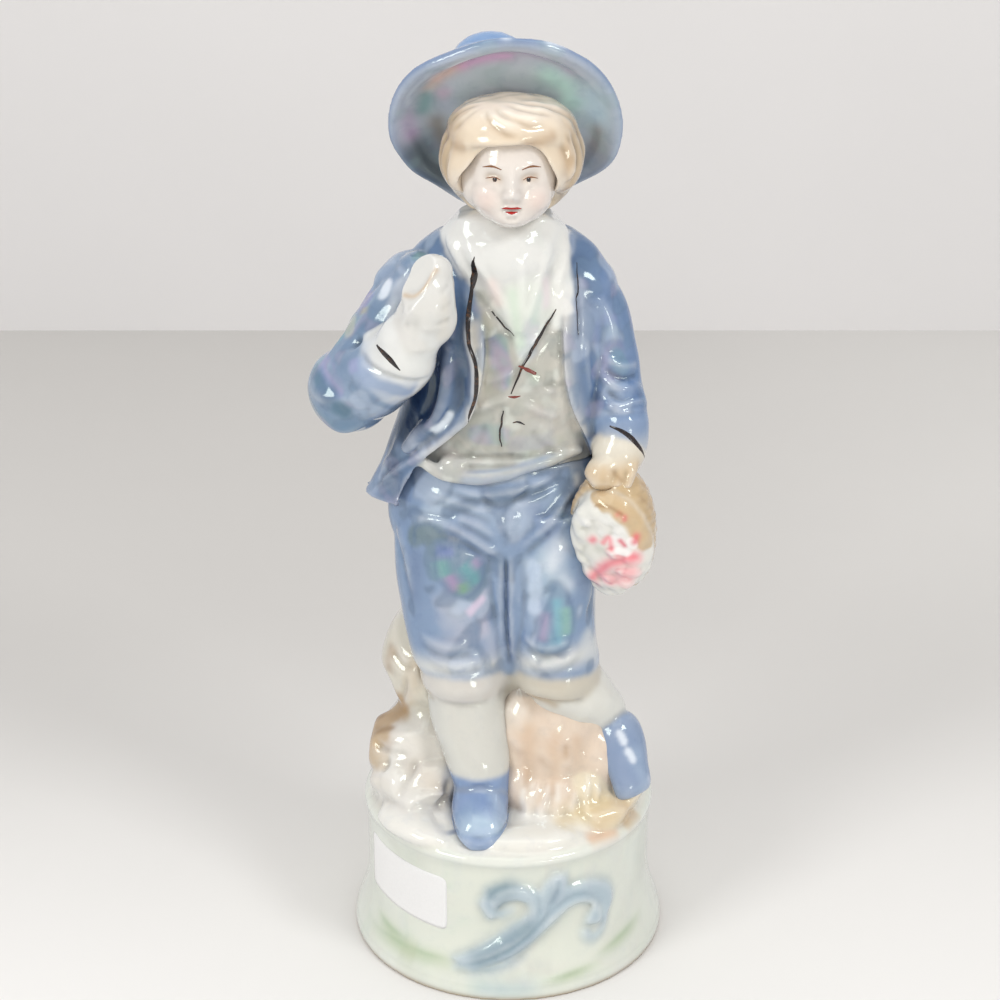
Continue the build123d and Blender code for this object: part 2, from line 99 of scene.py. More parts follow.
class Casting:
    """Clay parts luted together, fused to one skin and worked by hand. Sizes in millimetres."""

    def __init__(self, grain):
        self.grain = grain
        self.clay = bmesh.new()
        self.names = []
        self.owner = []

    def lute(self, name, part):
        """Adds a lump of clay to the part of this name."""
        pressed = bpy.data.meshes.new("pressed")
        part.to_mesh(pressed)
        part.free()
        self.clay.from_mesh(pressed)
        bpy.data.meshes.remove(pressed)
        if name not in self.names:
            self.names.append(name)
        fresh = len(self.clay.faces) - len(self.owner)
        self.owner += [self.names.index(name)] * fresh

    def press(self, *nodes):
        """Takes the frame's solids as clay parts of the same names."""
        for node in nodes:
            part = bmesh.new()
            part.from_mesh(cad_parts[node].data)
            bmesh.ops.remove_doubles(part, verts=part.verts, dist=1e-6)
            self.lute(node, part)

    def coil(self, name, points, radii):
        """Lays a rolled coil of clay along a line, as thick as the radii along it."""
        line = smooth_line(points, min(min(radii) * 0.5 + 0.1, 1.3))
        along = np.linspace(0, 1, len(line))
        thick = np.interp(along, np.linspace(0, 1, len(radii)), radii)
        rolled = bmesh.new()
        for centre, radius in zip(line, thick):
            place = Matrix.Translation(Vector(centre) * MM)
            bmesh.ops.create_icosphere(rolled, subdivisions=2, radius=radius * MM, matrix=place)
        self.lute(name, rolled)

    def pellet(self, name, centre, radii, turn=(0, 0, 0)):
        """Presses on an egg-shaped pellet of clay, turned by angles in degrees."""
        turned = Euler([math.radians(angle) for angle in turn]).to_matrix().to_4x4()
        place = Matrix.Translation(Vector(centre) * MM) @ turned @ Matrix.Diagonal((*radii, 1))
        lump = bmesh.new()
        bmesh.ops.create_icosphere(lump, subdivisions=3, radius=MM, matrix=place)
        self.lute(name, lump)

    def fuse(self, rounds=8):
        """Fuses the parts to one skin, and notes which part each point of it came from."""
        block = bpy.data.meshes.new("clay")
        self.clay.to_mesh(block)
        wet = bpy.data.objects.new("clay", block)
        bpy.context.scene.collection.objects.link(wet)
        fusing = wet.modifiers.new("fusing", "REMESH")
        fusing.mode = "VOXEL"
        fusing.voxel_size = self.grain * MM
        depsgraph = bpy.context.evaluated_depsgraph_get()
        self.mesh = bpy.data.meshes.new_from_object(wet.evaluated_get(depsgraph))
        bpy.data.objects.remove(wet)
        places = column(self.mesh.vertices, "co", np.float32, 3)
        self.co = places.reshape(-1, 3).astype(float) / MM
        self.quads = column(self.mesh.loops, "vertex_index").reshape(-1, 4)
        ends = column(self.mesh.edges, "vertices", wide=2)
        self.ends = ends.reshape(-1, 2)
        self.valence = np.bincount(ends, minlength=len(self.co)).clip(1)[:, None]
        tree = bvhtree.BVHTree.FromBMesh(self.clay)
        owner = np.array(self.owner)
        nearest = [tree.find_nearest(place)[2] for place in (self.co * MM).tolist()]
        self.share = self.spread(np.eye(len(self.names))[owner[nearest]], 5)
        self.clay.free()
        self.settle(rounds)

    def spread(self, values, rounds, weight=0.6):
        """Evens values out over the skin."""
        start, end = self.ends.T
        for _ in range(rounds):
            total = np.empty_like(values)
            for column in range(values.shape[1]):
                each = values[:, column]
                total[:, column] = np.bincount(start, each[end], len(values))
                total[:, column] += np.bincount(end, each[start], len(values))
            values = values + weight * (total / self.valence - values)
        return values

    def settle(self, rounds=2):
        """Sponges the skin smooth without shrinking it, and finds which way it faces."""
        for _ in range(rounds):
            self.co = self.spread(self.co, 1, 0.6)
            self.co = self.spread(self.co, 1, -0.62)
        corner = [self.co[self.quads[:, i]] for i in range(4)]
        lean = np.cross(corner[2] - corner[0], corner[3] - corner[1])
        total = np.zeros_like(self.co)
        for i in range(4):
            for axis in range(3):
                total[:, axis] += np.bincount(self.quads[:, i], lean[:, axis], len(self.co))
        self.out = total / np.linalg.norm(total, axis=1, keepdims=True).clip(1e-12)

    def of(self, *names):
        """How far each point of the skin belongs to these parts."""
        return self.share[:, [self.names.index(name) for name in names]].sum(1)

    def near(self, points, reach):
        """The skin near a line: which points, how far off and how far along."""
        spots = np.array(points, float)
        knots = [self.co[((self.co - spot) ** 2).sum(1).argmin()] for spot in spots]
        line = smooth_line(knots, max(reach / 5, 0.5))
        inside = (self.co > line.min(0) - reach) & (self.co < line.max(0) + reach)
        found = np.flatnonzero(inside.all(1))
        start, run = line[:-1], np.diff(line, axis=0)
        length = np.linalg.norm(run, axis=1)
        travelled = np.concatenate([[0], np.cumsum(length)])
        away = np.full(len(found), np.inf)
        share = np.zeros(len(found))
        for i in range(len(run)):
            offset = self.co[found] - start[i]
            along = np.clip(offset @ run[i] / length[i] ** 2, 0, 1)
            gap = offset - along[:, None] * run[i]
            far = np.sqrt((gap ** 2).sum(1))
            closer = far < away
            away[closer] = far[closer]
            share[closer] = (travelled[i] + along[closer] * length[i]) / travelled[-1]
        kept = away < reach
        return found[kept], away[kept], share[kept]

    def fold(self, points, width, lift, ends=0.25):
        """Raises a fold along a line, or tools a groove where lift is below 0."""
        found, away, share = self.near(points, 2.6 * width)
        rise = lift * np.exp(-(away / width) ** 2) * fade(share, ends)
        self.co[found] += rise[:, None] * self.out[found]

    def push(self, centre, radius, shift):
        """Pushes the clay round a point by a shift, less further out."""
        away = np.linalg.norm((self.co - centre) / radius, axis=1)
        found = away < 2.6
        self.co[found] += np.exp(-away[found] ** 2)[:, None] * np.array(shift, float)

    def pare(self, part, middle, cuts, bite, seed):
        """Cuts flat chips off a rock."""
        chance = np.random.default_rng(seed)
        weight = self.of(part)
        body = weight > 0.5
        for _ in range(cuts):
            way = chance.normal(size=3) * (1, 1, 0.55)
            way /= np.linalg.norm(way)
            reach = (self.co - middle) @ way
            limit = np.quantile(reach[body], 0.985) - bite * chance.uniform(0.5, 1.3)
            over = np.clip(reach - limit, 0, 3) * weight
            self.co -= 0.9 * over[:, None] * way

    def around(self, centre, radius):
        """1 at a point, less and less further out."""
        return np.exp(-(((self.co - centre) / radius) ** 2).sum(1))

    def knead(self, weight, rounds):
        """Rubs joints and edges smooth with a wet finger, by a weight for each point."""
        for _ in range(rounds):
            eased = self.spread(self.co, 1, 0.7)
            self.co += np.clip(weight, 0, 1)[:, None] * (eased - self.co)
        self.settle(1)

    def face_off(self, centre, way, reach):
        """Presses a flat facet that faces a way, as wide as the reach."""
        way = np.array(way, float) / np.linalg.norm(way)
        offset = self.co - centre
        over = np.clip(offset @ way, 0, None) * (np.linalg.norm(offset, axis=1) < reach)
        self.co -= over[:, None] * way

    def ripple(self, scale, depth, weight=1.0):
        """Leaves the unevenness of hand work, waves of about this length and depth."""
        self.co += (depth * waves(self.co / scale) * weight)[:, None] * self.out

    def colour(self, **parts):
        """Lays each part's ground colour, with soft edges between them."""
        grounds = np.array([linear(parts[name]) for name in self.names])
        self.paint = self.share @ grounds / self.share.sum(1, keepdims=True)

    def spray(self, colour, points, width, strength, parts=(), ends=0.0, edge=0.0):
        """Airbrushes a colour along a line, or brushes it on with a sharper edge."""
        found, away, share = self.near(points, 2.4 * width)
        amount = strength * fade(share, ends)
        if edge:
            wander = 1.1 + 0.25 * waves(self.co[found] / 2.5)
            amount *= np.clip((wander - away / width) / edge, 0, 1)
        else:
            amount *= np.exp(-(away / width) ** 2)
        if parts:
            amount *= self.of(*parts)[found]
        self.paint[found] += amount[:, None] * (linear(colour) - self.paint[found])

    def marks(self, parts, *rows):
        """Sprays one mark for each row of colour, line, width, strength, then ends and edge."""
        for colour, points, width, strength, *finish in rows:
            self.spray(colour, points, width, strength, parts, *finish)

    def dapple(self, colour, scale, strength, parts, shift=0.0, level=0.2):
        """Leaves brushed patches of thicker glaze, each with a darker rim where it dried."""
        field = waves(self.co / scale + shift) + 0.25 * waves(self.co / (0.4 * scale) - shift)
        weight = strength * self.of(*parts) * np.clip(0.45 - 1.2 * self.out[:, 1], 0.25, 1)
        self.wash(colour, weight * np.clip((field - level) / 0.08, 0, 1))
        self.wash(np.array(colour) * 0.72,
                  0.8 * weight * np.exp(-((field - level - 0.03) / 0.04) ** 2))

    def lustre(self, points, width, strength, scale=9.0, ends=0.0):
        """Lays a patch of mother-of-pearl, which turns from green to pink to violet."""
        found, away, share = self.near(points, 2.0 * width)
        phase = np.clip(0.5 + 0.75 * waves(self.co[found] / scale + 4), 0, 1)
        shades = ((132, 156, 138), (104, 158, 162), (120, 132, 184), (168, 140, 186), (116, 160, 170))
        film = np.array([linear(shade) for shade in shades])
        stops = np.linspace(0, 1, len(film))
        tint = np.stack([np.interp(phase, stops, film[:, i]) for i in range(3)], 1)
        edge = np.clip((1.1 + 0.2 * waves(self.co[found] / 2.5) - away / width) / 0.25, 0, 1)
        amount = strength * edge * fade(share, ends)
        self.paint[found] += amount[:, None] * (tint - self.paint[found])

    def wash(self, colour, weight):
        """Washes a colour over the skin by a weight for each point."""
        amount = np.clip(weight, 0, 1)[:, None]
        self.paint += amount * (linear(colour) - self.paint)

    def hollows(self, reach, rounds):
        """How deep each point lies below the skin round it, and below 0 on a ridge."""
        mean = self.spread(self.co, reach, 1.0)
        hollow = ((mean - self.co) * self.out).sum(1, keepdims=True) / self.grain
        return self.spread(hollow, rounds)[:, 0]

    def pool(self, deep=0.35, bare=0.25):
        """Lets glaze run off the ridges, which show paler, and pool darker in the hollows."""
        hollow = self.hollows(1, 3) * 14
        self.paint *= (1 - deep * np.clip(hollow, 0, 1.4))[:, None]
        self.paint += (bare * np.clip(-hollow - 0.15, 0, 1))[:, None] * (0.86 - self.paint)

    def soften(self, rounds):
        """Lets the colours bleed a little into each other."""
        self.paint = self.spread(self.paint, rounds)

    def part_off(self, name, material, wall=0.0):
        """Makes one named piece of the skin, closed by an inner wall, or by caps at its cuts."""
        mine = self.share[self.quads].sum(1).argmax(1) == self.names.index(name)
        if "place" not in self.mesh.attributes:
            self.mesh.attributes.new("place", "INT", "POINT")
        self.mesh.attributes["place"].data.foreach_set("value", np.arange(len(self.co)))
        self.mesh.vertices.foreach_set("co", (self.co * MM).astype(np.float32).ravel())
        shell = bmesh.new()
        shell.from_mesh(self.mesh)
        spare = [face for face, kept in zip(shell.faces, mine) if not kept]
        bmesh.ops.delete(shell, geom=spare, context="FACES")
        place = shell.verts.layers.int["place"]
        outside = set(shell.faces)
        cut = [edge for edge in shell.edges if edge.is_boundary]
        if wall and cut:
            grown = bmesh.ops.extrude_face_region(shell, geom=list(outside), use_keep_orig=True)
            outside = {item for item in grown["geom"] if isinstance(item, bmesh.types.BMFace)}
            fresh = {item for item in grown["geom"] if isinstance(item, bmesh.types.BMVert)}
            shell.faces.ensure_lookup_table()
            rim = {face for face in shell.faces if any(v in fresh for v in face.verts)} - outside
            inner = [face for face in shell.faces if face not in outside and face not in rim]
            bmesh.ops.reverse_faces(shell, faces=inner)
            inward = (self.out * -wall * MM).tolist()
            for vert in shell.verts:
                if vert not in fresh:
                    vert.co += Vector(inward[vert[place]])
        elif cut:
            grown = bmesh.ops.extrude_edge_only(shell, edges=cut)["geom"]
            for item in grown:
                if isinstance(item, bmesh.types.BMVert):
                    item.co -= Vector(self.out[item[place]]) * MM
            rim = [item for item in grown if isinstance(item, bmesh.types.BMFace)]
            cut = [edge for edge in shell.edges if edge.is_boundary]
            caps = bmesh.ops.holes_fill(shell, edges=cut, sides=0)["faces"]
            for faces, known in ((rim, outside), (caps, set(rim))):
                for face in faces:
                    joined = next(e for e in face.edges if any(f in known for f in e.link_faces))
                    first, second = joined.link_loops
                    if first.vert == second.vert:
                        face.normal_flip()
            bmesh.ops.triangulate(shell, faces=caps)
        fired = np.array([face in outside for face in shell.faces])
        piece = stand(name + "_piece", shell, material)
        mesh = piece.data
        places = column(mesh.attributes["place"].data, "value")
        mesh.attributes.remove(mesh.attributes["place"])
        paint = mesh.attributes.new("paint", "FLOAT_COLOR", "POINT")
        tint = np.ones((len(places), 4), np.float32)
        tint[:, :3] = np.clip(self.paint[places], 0, 1)
        paint.data.foreach_set("color", tint.ravel())
        corners = column(mesh.loops, "vertex_index")
        counts = column(mesh.polygons, "loop_total")
        facing = self.out[places[corners]] * np.repeat(fired, counts)[:, None]
        mesh.normals_split_custom_set(facing.tolist())
        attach(piece, "root")
        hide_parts(name)


def waves(spots):
    """Smooth unevenness between about -1 and 1 over a skin, the same at every firing."""
    x, y, z = spots.T
    first = np.sin(2.1 * x + 1.3 * np.sin(1.7 * y + 0.6)) * np.cos(1.9 * y - 0.8 * z)
    second = np.sin(2.6 * z + 1.1 * np.sin(2.2 * x - 1.4)) * np.cos(1.4 * x + 1.2 * y)
    return 0.5 * (first + second)


class Wire:
    """An output of a glaze recipe, so that its sums are written as plain sums."""

    def __init__(self, recipe, socket):
        self.recipe, self.socket = recipe, socket

    def sum(self, operation, *values):
        return self.recipe.node("ShaderNodeMath", {"operation": operation}, list(values))

    def __add__(self, other):
        return self.sum("ADD", self, other)

    def __mul__(self, other):
        return self.sum("MULTIPLY", self, other)

    def __rsub__(self, other):
        return self.sum("SUBTRACT", other, self)

    __radd__ = __add__
    __rmul__ = __mul__

    def between(self, low, high):
        """0 below low and 1 above high, eased."""
        sockets = {"Value": self, "From Min": low, "From Max": high}
        settings = {"interpolation_type": "SMOOTHSTEP", "clamp": True}
        return self.recipe.node("ShaderNodeMapRange", settings, sockets)


class Recipe:
    """The nodes of one glaze."""

    def __init__(self, name):
        self.material = bpy.data.materials.new(name)
        self.material.use_nodes = True
        self.tree = self.material.node_tree
        self.tree.nodes.clear()

    def node(self, kind, settings, sockets, output=0):
        made = self.tree.nodes.new(kind)
        for key, value in settings.items():
            if key == "stops":
                while len(made.color_ramp.elements) < len(value):
                    made.color_ramp.elements.new(0.5)
                for stop, (place, colour) in zip(made.color_ramp.elements, value):
                    stop.position = place
                    stop.color = colour
            else:
                setattr(made, key, value)
        named = sockets.items() if isinstance(sockets, dict) else enumerate(sockets)
        for key, value in named:
            if isinstance(value, Wire):
                self.tree.links.new(value.socket, made.inputs[key])
            else:
                made.inputs[key].default_value = value
        return Wire(self, made.outputs[output]) if made.outputs else made

    def mix(self, factor, first, second, blend="MIX"):
        settings = {"data_type": "RGBA", "blend_type": blend}
        return self.node("ShaderNodeMix", settings, {0: factor, 6: first, 7: second}, 2)

    def finish(self, shader):
        self.node("ShaderNodeOutputMaterial", {}, {"Surface": shader})
        return self.material


def glaze(name, gloss=0.09, pearl=0.12, speck=0.5, mottle=0.08, uneven=0.00016, film=200.0):
    """A fired glaze over the painted ground: glassy, a little uneven, with a pearly bloom."""
    recipe = Recipe(name)
    spot = recipe.node("ShaderNodeTexCoord", {}, {}, "Object")
    ground = recipe.node("ShaderNodeAttribute", {"attribute_name": "paint"}, {}, "Color")
    cloud = recipe.node("ShaderNodeTexNoise", {}, {"Vector": spot, "Scale": 75.0, "Detail": 4.0,
                                                   "Roughness": 0.6, "Distortion": 0.6})
    drift = recipe.node("ShaderNodeTexNoise", {}, {"Vector": spot, "Scale": 46.0, "Detail": 2.0,
                                                   "Distortion": 1.4})
    bloom = recipe.node("ShaderNodeValToRGB", {"stops": (
        (0.30, (0.78, 0.90, 0.85, 1)), (0.43, (0.90, 0.92, 0.98, 1)), (0.52, (1, 1, 1, 1)),
        (0.60, (0.98, 0.91, 0.94, 1)), (0.72, (0.88, 0.87, 0.97, 1)))}, {"Fac": drift})
    tinted = recipe.mix(pearl * cloud.between(0.35, 0.65), ground, bloom, "MULTIPLY")
    brushed = recipe.node("ShaderNodeTexNoise", {}, {"Vector": spot, "Scale": 240.0, "Detail": 3.0,
                                                     "Roughness": 0.6, "Distortion": 0.2})
    thick = recipe.mix((1 - brushed.between(0.3, 0.5)) * mottle, tinted, (0.62, 0.68, 0.78, 1),
                       "MULTIPLY")
    pale = recipe.mix(cloud.between(0.55, 0.8) * 0.10, thick, (0.9, 0.92, 0.95, 1))
    pits = recipe.node("ShaderNodeTexVoronoi", {}, {"Vector": spot, "Scale": 95.0}, "Distance")
    rare = recipe.node("ShaderNodeTexVoronoi", {}, {"Vector": spot, "Scale": 95.0}, "Color")
    chosen = recipe.node("ShaderNodeSeparateColor", {}, {"Color": rare}, "Red")
    mark = (1 - pits.between(0.02, 0.05)) * chosen.between(0.93, 0.95) * speck
    stained = recipe.mix(mark, pale, (0.07, 0.05, 0.04, 1))
    skin = recipe.node("ShaderNodeTexNoise", {}, {"Vector": spot, "Scale": 420.0, "Detail": 2.0})
    bump = recipe.node("ShaderNodeBump", {}, {"Strength": 0.5, "Distance": uneven,
                                              "Height": cloud + skin * 0.4})
    shader = recipe.node("ShaderNodeBsdfPrincipled", {}, {
        "Base Color": stained, "Roughness": gloss + cloud * 0.08, "Normal": bump,
        "IOR": 1.5, "Coat Weight": 0.6, "Coat Roughness": 0.03, "Coat IOR": 1.5,
        "Thin Film Thickness": film, "Thin Film IOR": 1.38})
    return recipe.finish(shader)


base = Casting(0.62)
base.press("plinth", "scroll_relief", "turf", "lower_rock", "upper_rock", "tree_stump", "step_rock")


def plinth_wall(x, z, lift=0.0):
    """The point on the front of the plinth's waisted side at this width and height."""
    reach = np.interp(z, (0, 4, 8, 12, 24, 40), (46, 45.6, 44.3, 43.1, 41.7, 41.0)) + lift
    return (x, -math.sqrt(reach ** 2 - x ** 2), z)


def on_plinth(*spots, lift=0.0):
    """A line on the front of the plinth."""
    return [plinth_wall(x, z, lift) for x, z in spots]


scroll_lines = (
    (((-17, 7), (-9, 11), (-1, 15.5), (6, 20), (10.5, 24.5), (14.3, 28.4), (18.5, 30), (23, 28),
      (26.4, 22.5), (26.4, 16.5), (23.6, 13.8), (21.4, 16)),
     (0.5, 2.2, 3.2, 3.6, 3.0, 2.3, 2.0, 2.0, 2.2, 1.8, 1.3, 1.6)),
    (((-17, 7), (-9, 7.6), (-1, 9.8), (6, 14.5)), (0.4, 1.3, 1.5, 0.5)),
    (((7.5, 21), (8.6, 27.5), (6.8, 33), (1.5, 35.6), (-3.6, 34), (-6, 29.8), (-3.4, 26.2),
      (0.4, 27.4)),
     (1.2, 1.5, 1.6, 1.6, 1.8, 2.0, 1.9, 1.7)),
    (((9, 21), (11.5, 28), (13.6, 33.5), (13.2, 36.8)), (1.0, 1.6, 2.3, 0.7)))
for spots, radii in scroll_lines:
    base.coil("scroll_relief", on_plinth(*spots, lift=-1.0), radii)
for centre, radii, turn in (
    ((-27, -5, 57), (12, 10.5, 13), 0), ((-23, -13, 52), (9, 8, 8), 20),
    ((-33, -11, 48), (8, 9, 7), 0), ((-31, -12, 51), (9, 9, 7), 20), ((-24, -20, 49), (9, 7, 5), -20),
    ((-36, -3, 57), (5.5, 8, 8), 0), ((-20, -14, 53), (6.5, 6, 7), 30),
    ((-28, -7, 62), (8.5, 6.5, 6), 10), ((-34, -1, 63), (7, 6, 4), 0),
):
    base.pellet("lower_rock", centre, radii, (0, 0, turn))
for centre, radii, turn in (
    ((-27.5, -26.5, 45.4), (13, 6, 3.2), -43), ((5, -33, 46), (14, 6, 2.2), 4),
    ((28, 24, 46), (12, 7, 3), -40), ((-22, 30, 46), (14, 7, 3), 30),
):
    base.pellet("turf", centre, radii, (0, 0, turn))
for centre, radii, turn in (((27, -22, 47.6), (10, 8, 3.4), 30), ((34, -14, 50), (5.6, 8, 5), 20),
                            ((22, -18, 52), (6, 6, 6), 0)):
    base.pellet("step_rock", centre, radii, (0, 0, turn))
for centre, radii in (
    ((3, -4, 71), (10, 8, 9)), ((18, -6, 72), (13, 10, 9)), ((13, -7, 62), (15, 13, 19)),
    ((4, -9, 62), (8, 10, 19)), ((24, -9, 57), (11, 10, 13)), ((12, -15, 50), (15, 10, 8)),
    ((3, -14, 52), (6, 9, 9)),
):
    base.pellet("tree_stump", centre, radii)
base.coil("tree_stump", ((3, 3, 60), (1.5, 2, 75), (0.6, 2, 88)), (6, 4.5, 3))
base.coil("tree_stump", ((4, -6, 66), (4.2, -7, 76), (4, -6, 85)), (6, 5.4, 3))
base.fuse(5)
base.pare("lower_rock", (-20, -2, 56), 14, 1.6, 4)
base.pare("upper_rock", (-19, 5, 82), 14, 1.8, 9)
base.pare("step_rock", (29, -12, 54), 8, 1.2, 12)
base.knead(base.of("lower_rock", "upper_rock", "step_rock", "tree_stump", "turf"), 10)
base.knead(base.around((27, -22, 50), (12, 12, 7)), 10)
base.knead(base.of("scroll_relief") + 0.5 * base.around((6, -42, 22), (26, 8, 17)), 7)
stone = base.of("lower_rock", "upper_rock", "step_rock")
base.ripple(5.2, 0.24, stone + 0.6 * base.of("turf"))
for turn in range(0, 190, 15):
    swing = math.radians(turn)
    bark = [(13 + 24 * math.cos(swing), -3 + 20 * math.sin(swing), z) for z in (48, 58, 68, 78)]
    base.fold(bark, 1.3, -0.35, 0.25)
for start, middle, end in (
    ((-39, -6, 62), (-33, -9, 60), (-27, -12, 61)), ((-30, -20, 50), (-27, -16, 55), (-26, -12, 60)),
    ((-36, -15, 50), (-33, -12, 54), (-31, -8, 59)), ((-22, -24, 47), (-19, -20, 51), (-17, -17, 56)),
    ((-37, -2, 70), (-33, -6, 76), (-30, -7, 84)), ((-35, 0, 88), (-30, -4, 84), (-24, -5, 86)),
):
    base.fold((start, middle, end), 1.2, -1.0)
# the scroll is fluted along its length, and each curl ends in a small eye
for spots, radii in scroll_lines:
    base.fold(on_plinth(*spots, lift=1.0), 0.8, -0.4, 0.15)
base.knead(base.around((13, -18, 62), (17, 9, 18)), 8)
for x, top, foot in ((3.5, 66, 54), (7.6, 62, 50), (10, 58, 49), (15.5, 60, 50), (17.6, 56, 49),
                     (22, 61, 51), (25, 57, 50)):
    base.fold(
        ((x, -22, top), (x + 0.8, -23, (top + foot) / 2), (x - 0.6, -24, foot)), 1.0, 0.45, 0.35)
    base.fold(
        ((x + 2.0, -22, top - 3), (x + 2.2, -23, (top + foot) / 2), (x + 1.2, -24, foot)), 0.8, -0.4,
        0.35)
base.ripple(3.0, 0.3, base.of("tree_stump"))
for x, foot in ((5, 47), (9, 46.8), (13.5, 46.8), (18, 47), (22, 47.6)):
    base.push((x, -24, foot + 2), (1.6, 2.5, 2.6), (0, -1.3, 0.3))
base.settle(3)
level = base.co[:, 2]
side = base.of("plinth") * (np.hypot(base.co[:, 0], base.co[:, 1]) > 38)
side *= 1 - np.abs(base.out[:, 2])
for height, depth in ((40.6, 0.35), (3.4, 0.25), (42.4, -0.2)):
    base.co -= (depth * np.exp(-((level - height) / 0.7) ** 2) * side)[:, None] * base.out
base.settle(1)
base.colour(plinth=(222, 224, 212), scroll_relief=(178, 193, 202), turf=(233, 230, 221),
            lower_rock=(221, 216, 207), upper_rock=(214, 208, 193), tree_stump=(223, 204, 185),
            step_rock=(229, 216, 190))
tan, brown, leaf_green = (196, 166, 128), (150, 108, 62), (160, 180, 134)
rocks = ("lower_rock", "upper_rock")
base.wash((206, 209, 195), 0.5 * side * np.clip(2 * waves(base.co / 14), 0, 1))
for spots, strength in ((((-36, -5, 66), (-31, -9, 62)), 0.8), (((-35, 0, 72), (-30, -6, 70)), 0.7),
                        (((-37, -1, 78), (-36, -2, 92)), 0.5), (((-39, -8, 56), (-40, -4, 60)), 0.5)):
    base.spray(brown, spots, 2.4, strength, rocks, 0.2)
for spots in (
    ((-30, -6, 76), (-24, -8, 88)), ((-38, -10, 52), (-34, -16, 50)),
    ((-26, -16, 56), (-20, -18, 52)), ((-10, 20, 80), (-26, 18, 74)), ((-30, 12, 60), (-12, 24, 58)),
):
    base.spray(tan, spots, 3.5, 0.35, rocks)
base.spray(
    (184, 156, 116), ((-31.5, -5, 73), (-36.5, 0, 66), (-39, -1, 60), (-36, -6, 58)), 5.2, 0.85,
    rocks, 0.1, 0.5)
base.spray(
    (190, 162, 122), ((-33.5, -9, 67), (-37.5, -7, 62), (-38, -8, 57), (-33, -13, 58)), 3.6, 0.85,
    ("lower_rock",), 0.1, 0.5)
base.marks(rocks,
    ((134, 98, 54), ((-33, -8, 69), (-37, -6, 65), (-39.5, -5, 60)), 1.2, 0.7, 0.2),
    ((134, 98, 54), ((-33, -3, 74), (-37.5, 1, 66), (-40, 1, 60)), 1.2, 0.8, 0.2),
    ((150, 120, 80), ((-37.5, -2, 62), (-34, -6, 63.5), (-31, -8, 63.5)), 1.3, 0.7, 0.2))
base.spray((160, 122, 82), ((-39.5, -6, 55), (-39.5, -6, 49)), 1.8, 0.6, ("lower_rock", "turf"), 0.3)
base.spray((228, 225, 218), ((-34, -14, 57), (-28, -18, 53)), 5.0, 0.6, ("lower_rock",))
base.spray(
    (228, 225, 218), ((-38, -12, 49), (-30, -22, 49), (-22, -28, 49)), 4.0, 0.7,
    ("lower_rock", "turf"))
for spots in (
    ((6, -20, 76), (6, -22, 56)), ((13, -22, 74), (13, -24, 54)), ((20, -20, 72), (21, -23, 54)),
    ((30, 4, 74), (31, 2, 56)), ((10, 20, 74), (10, 20, 54)), ((-2, 12, 74), (0, 14, 54)),
):
    base.spray((204, 170, 138), spots, 2.6, 0.5, ("tree_stump",), 0.2)
for x, top, foot in ((3.4, 68, 56), (5.4, 61, 52), (8.5, 64, 57), (12.2, 60, 51), (16, 70, 62),
                     (20.6, 60, 52), (23.4, 58, 51), (18.2, 57, 50)):
    base.spray((176, 136, 98), ((x, -22, top), (x + 0.8, -23, foot)), 0.9, 0.55, ("tree_stump",), 0.3)
# painted highlights: pale streaks down the ridges at the foot of the stump
for x, top, foot in ((4.4, 56, 49), (7.0, 58, 50), (10.6, 57, 48), (14.2, 58, 50), (19.4, 55, 49),
                     (22, 57, 50)):
    base.spray((246, 243, 236), ((x, -22, top), (x - 0.6, -24, foot)), 0.9, 0.8, ("tree_stump",), 0.3)
base.spray((168, 160, 140), ((22, -18, 58), (23.4, -18, 53)), 1.8, 0.5, ("tree_stump",), 0.3)
base.spray(
    (242, 238, 230), ((2, -24, 49), (12, -27, 48), (24, -24, 48)), 3.0, 0.8, ("tree_stump", "turf"),
    0.1)
for spots in (((22, -28, 47), (34, -20, 49)), ((30, -24, 44.5), (36, -16, 46))):
    base.spray((204, 168, 116), spots, 4.0, 0.6, (), 0.2)
for spots, width in (
    (((-42, -13, 9), (-39, -20.8, 7.6), (-31, -31, 8.4), (-22, -38, 9), (-12, -42, 10),
      (-4, -43, 12)), 2.4),
    (((-39.5, -18, 13), (-35, -27, 11), (-27, -34, 10)), 2.0),
    (((22, -38, 7), (32, -29.5, 9.7), (41, -16, 12)), 1.8),
    (((6, -44, 4), (16, -41, 5), (28, -34, 6)), 1.5), (((42, 10, 8), (30, 30, 10), (10, 42, 8)), 2.6),
    (((-10, 43, 8), (-30, 30, 10), (-42, 6, 8)), 2.6),
):
    base.spray(leaf_green, spots, width, 0.5, ("plinth",), 0.45)
    base.spray((124, 156, 104), [(x, y, z + 0.8) for x, y, z in spots], 0.5, 0.35, ("plinth",), 0.45)
base.spray((186, 202, 204), ((-14, -43, 4), (0, -45, 3.5), (12, -44, 5)), 3.0, 0.7, ("plinth",), 0.3)
scroll_stem = scroll_lines[0][0][:9]
base.spray((150, 172, 188), on_plinth(*scroll_stem), 3.4, 0.4, (), 0.2)
soft = base.spread(base.of("scroll_relief")[:, None], 9)[:, 0]
base.wash((206, 213, 208), 2.6 * soft * (1 - soft))
base.marks((),
    ((124, 146, 160), on_plinth((-8, 11.6), (0, 16.4), (6, 21), (10, 25.6)), 0.8, 0.45, 0.3),
    ((214, 222, 222), on_plinth((8, 20), (13, 25), (19, 28), (25, 23), (26, 17)), 1.2, 0.6, 0.2),
    ((128, 146, 156), on_plinth((-6, 30), (-4, 33), (1, 35), (-4, 27)), 2.0, 0.5, 0.1),
    ((128, 146, 166), on_plinth((11.5, 29), (13, 34)), 1.6, 0.5, 0.1))
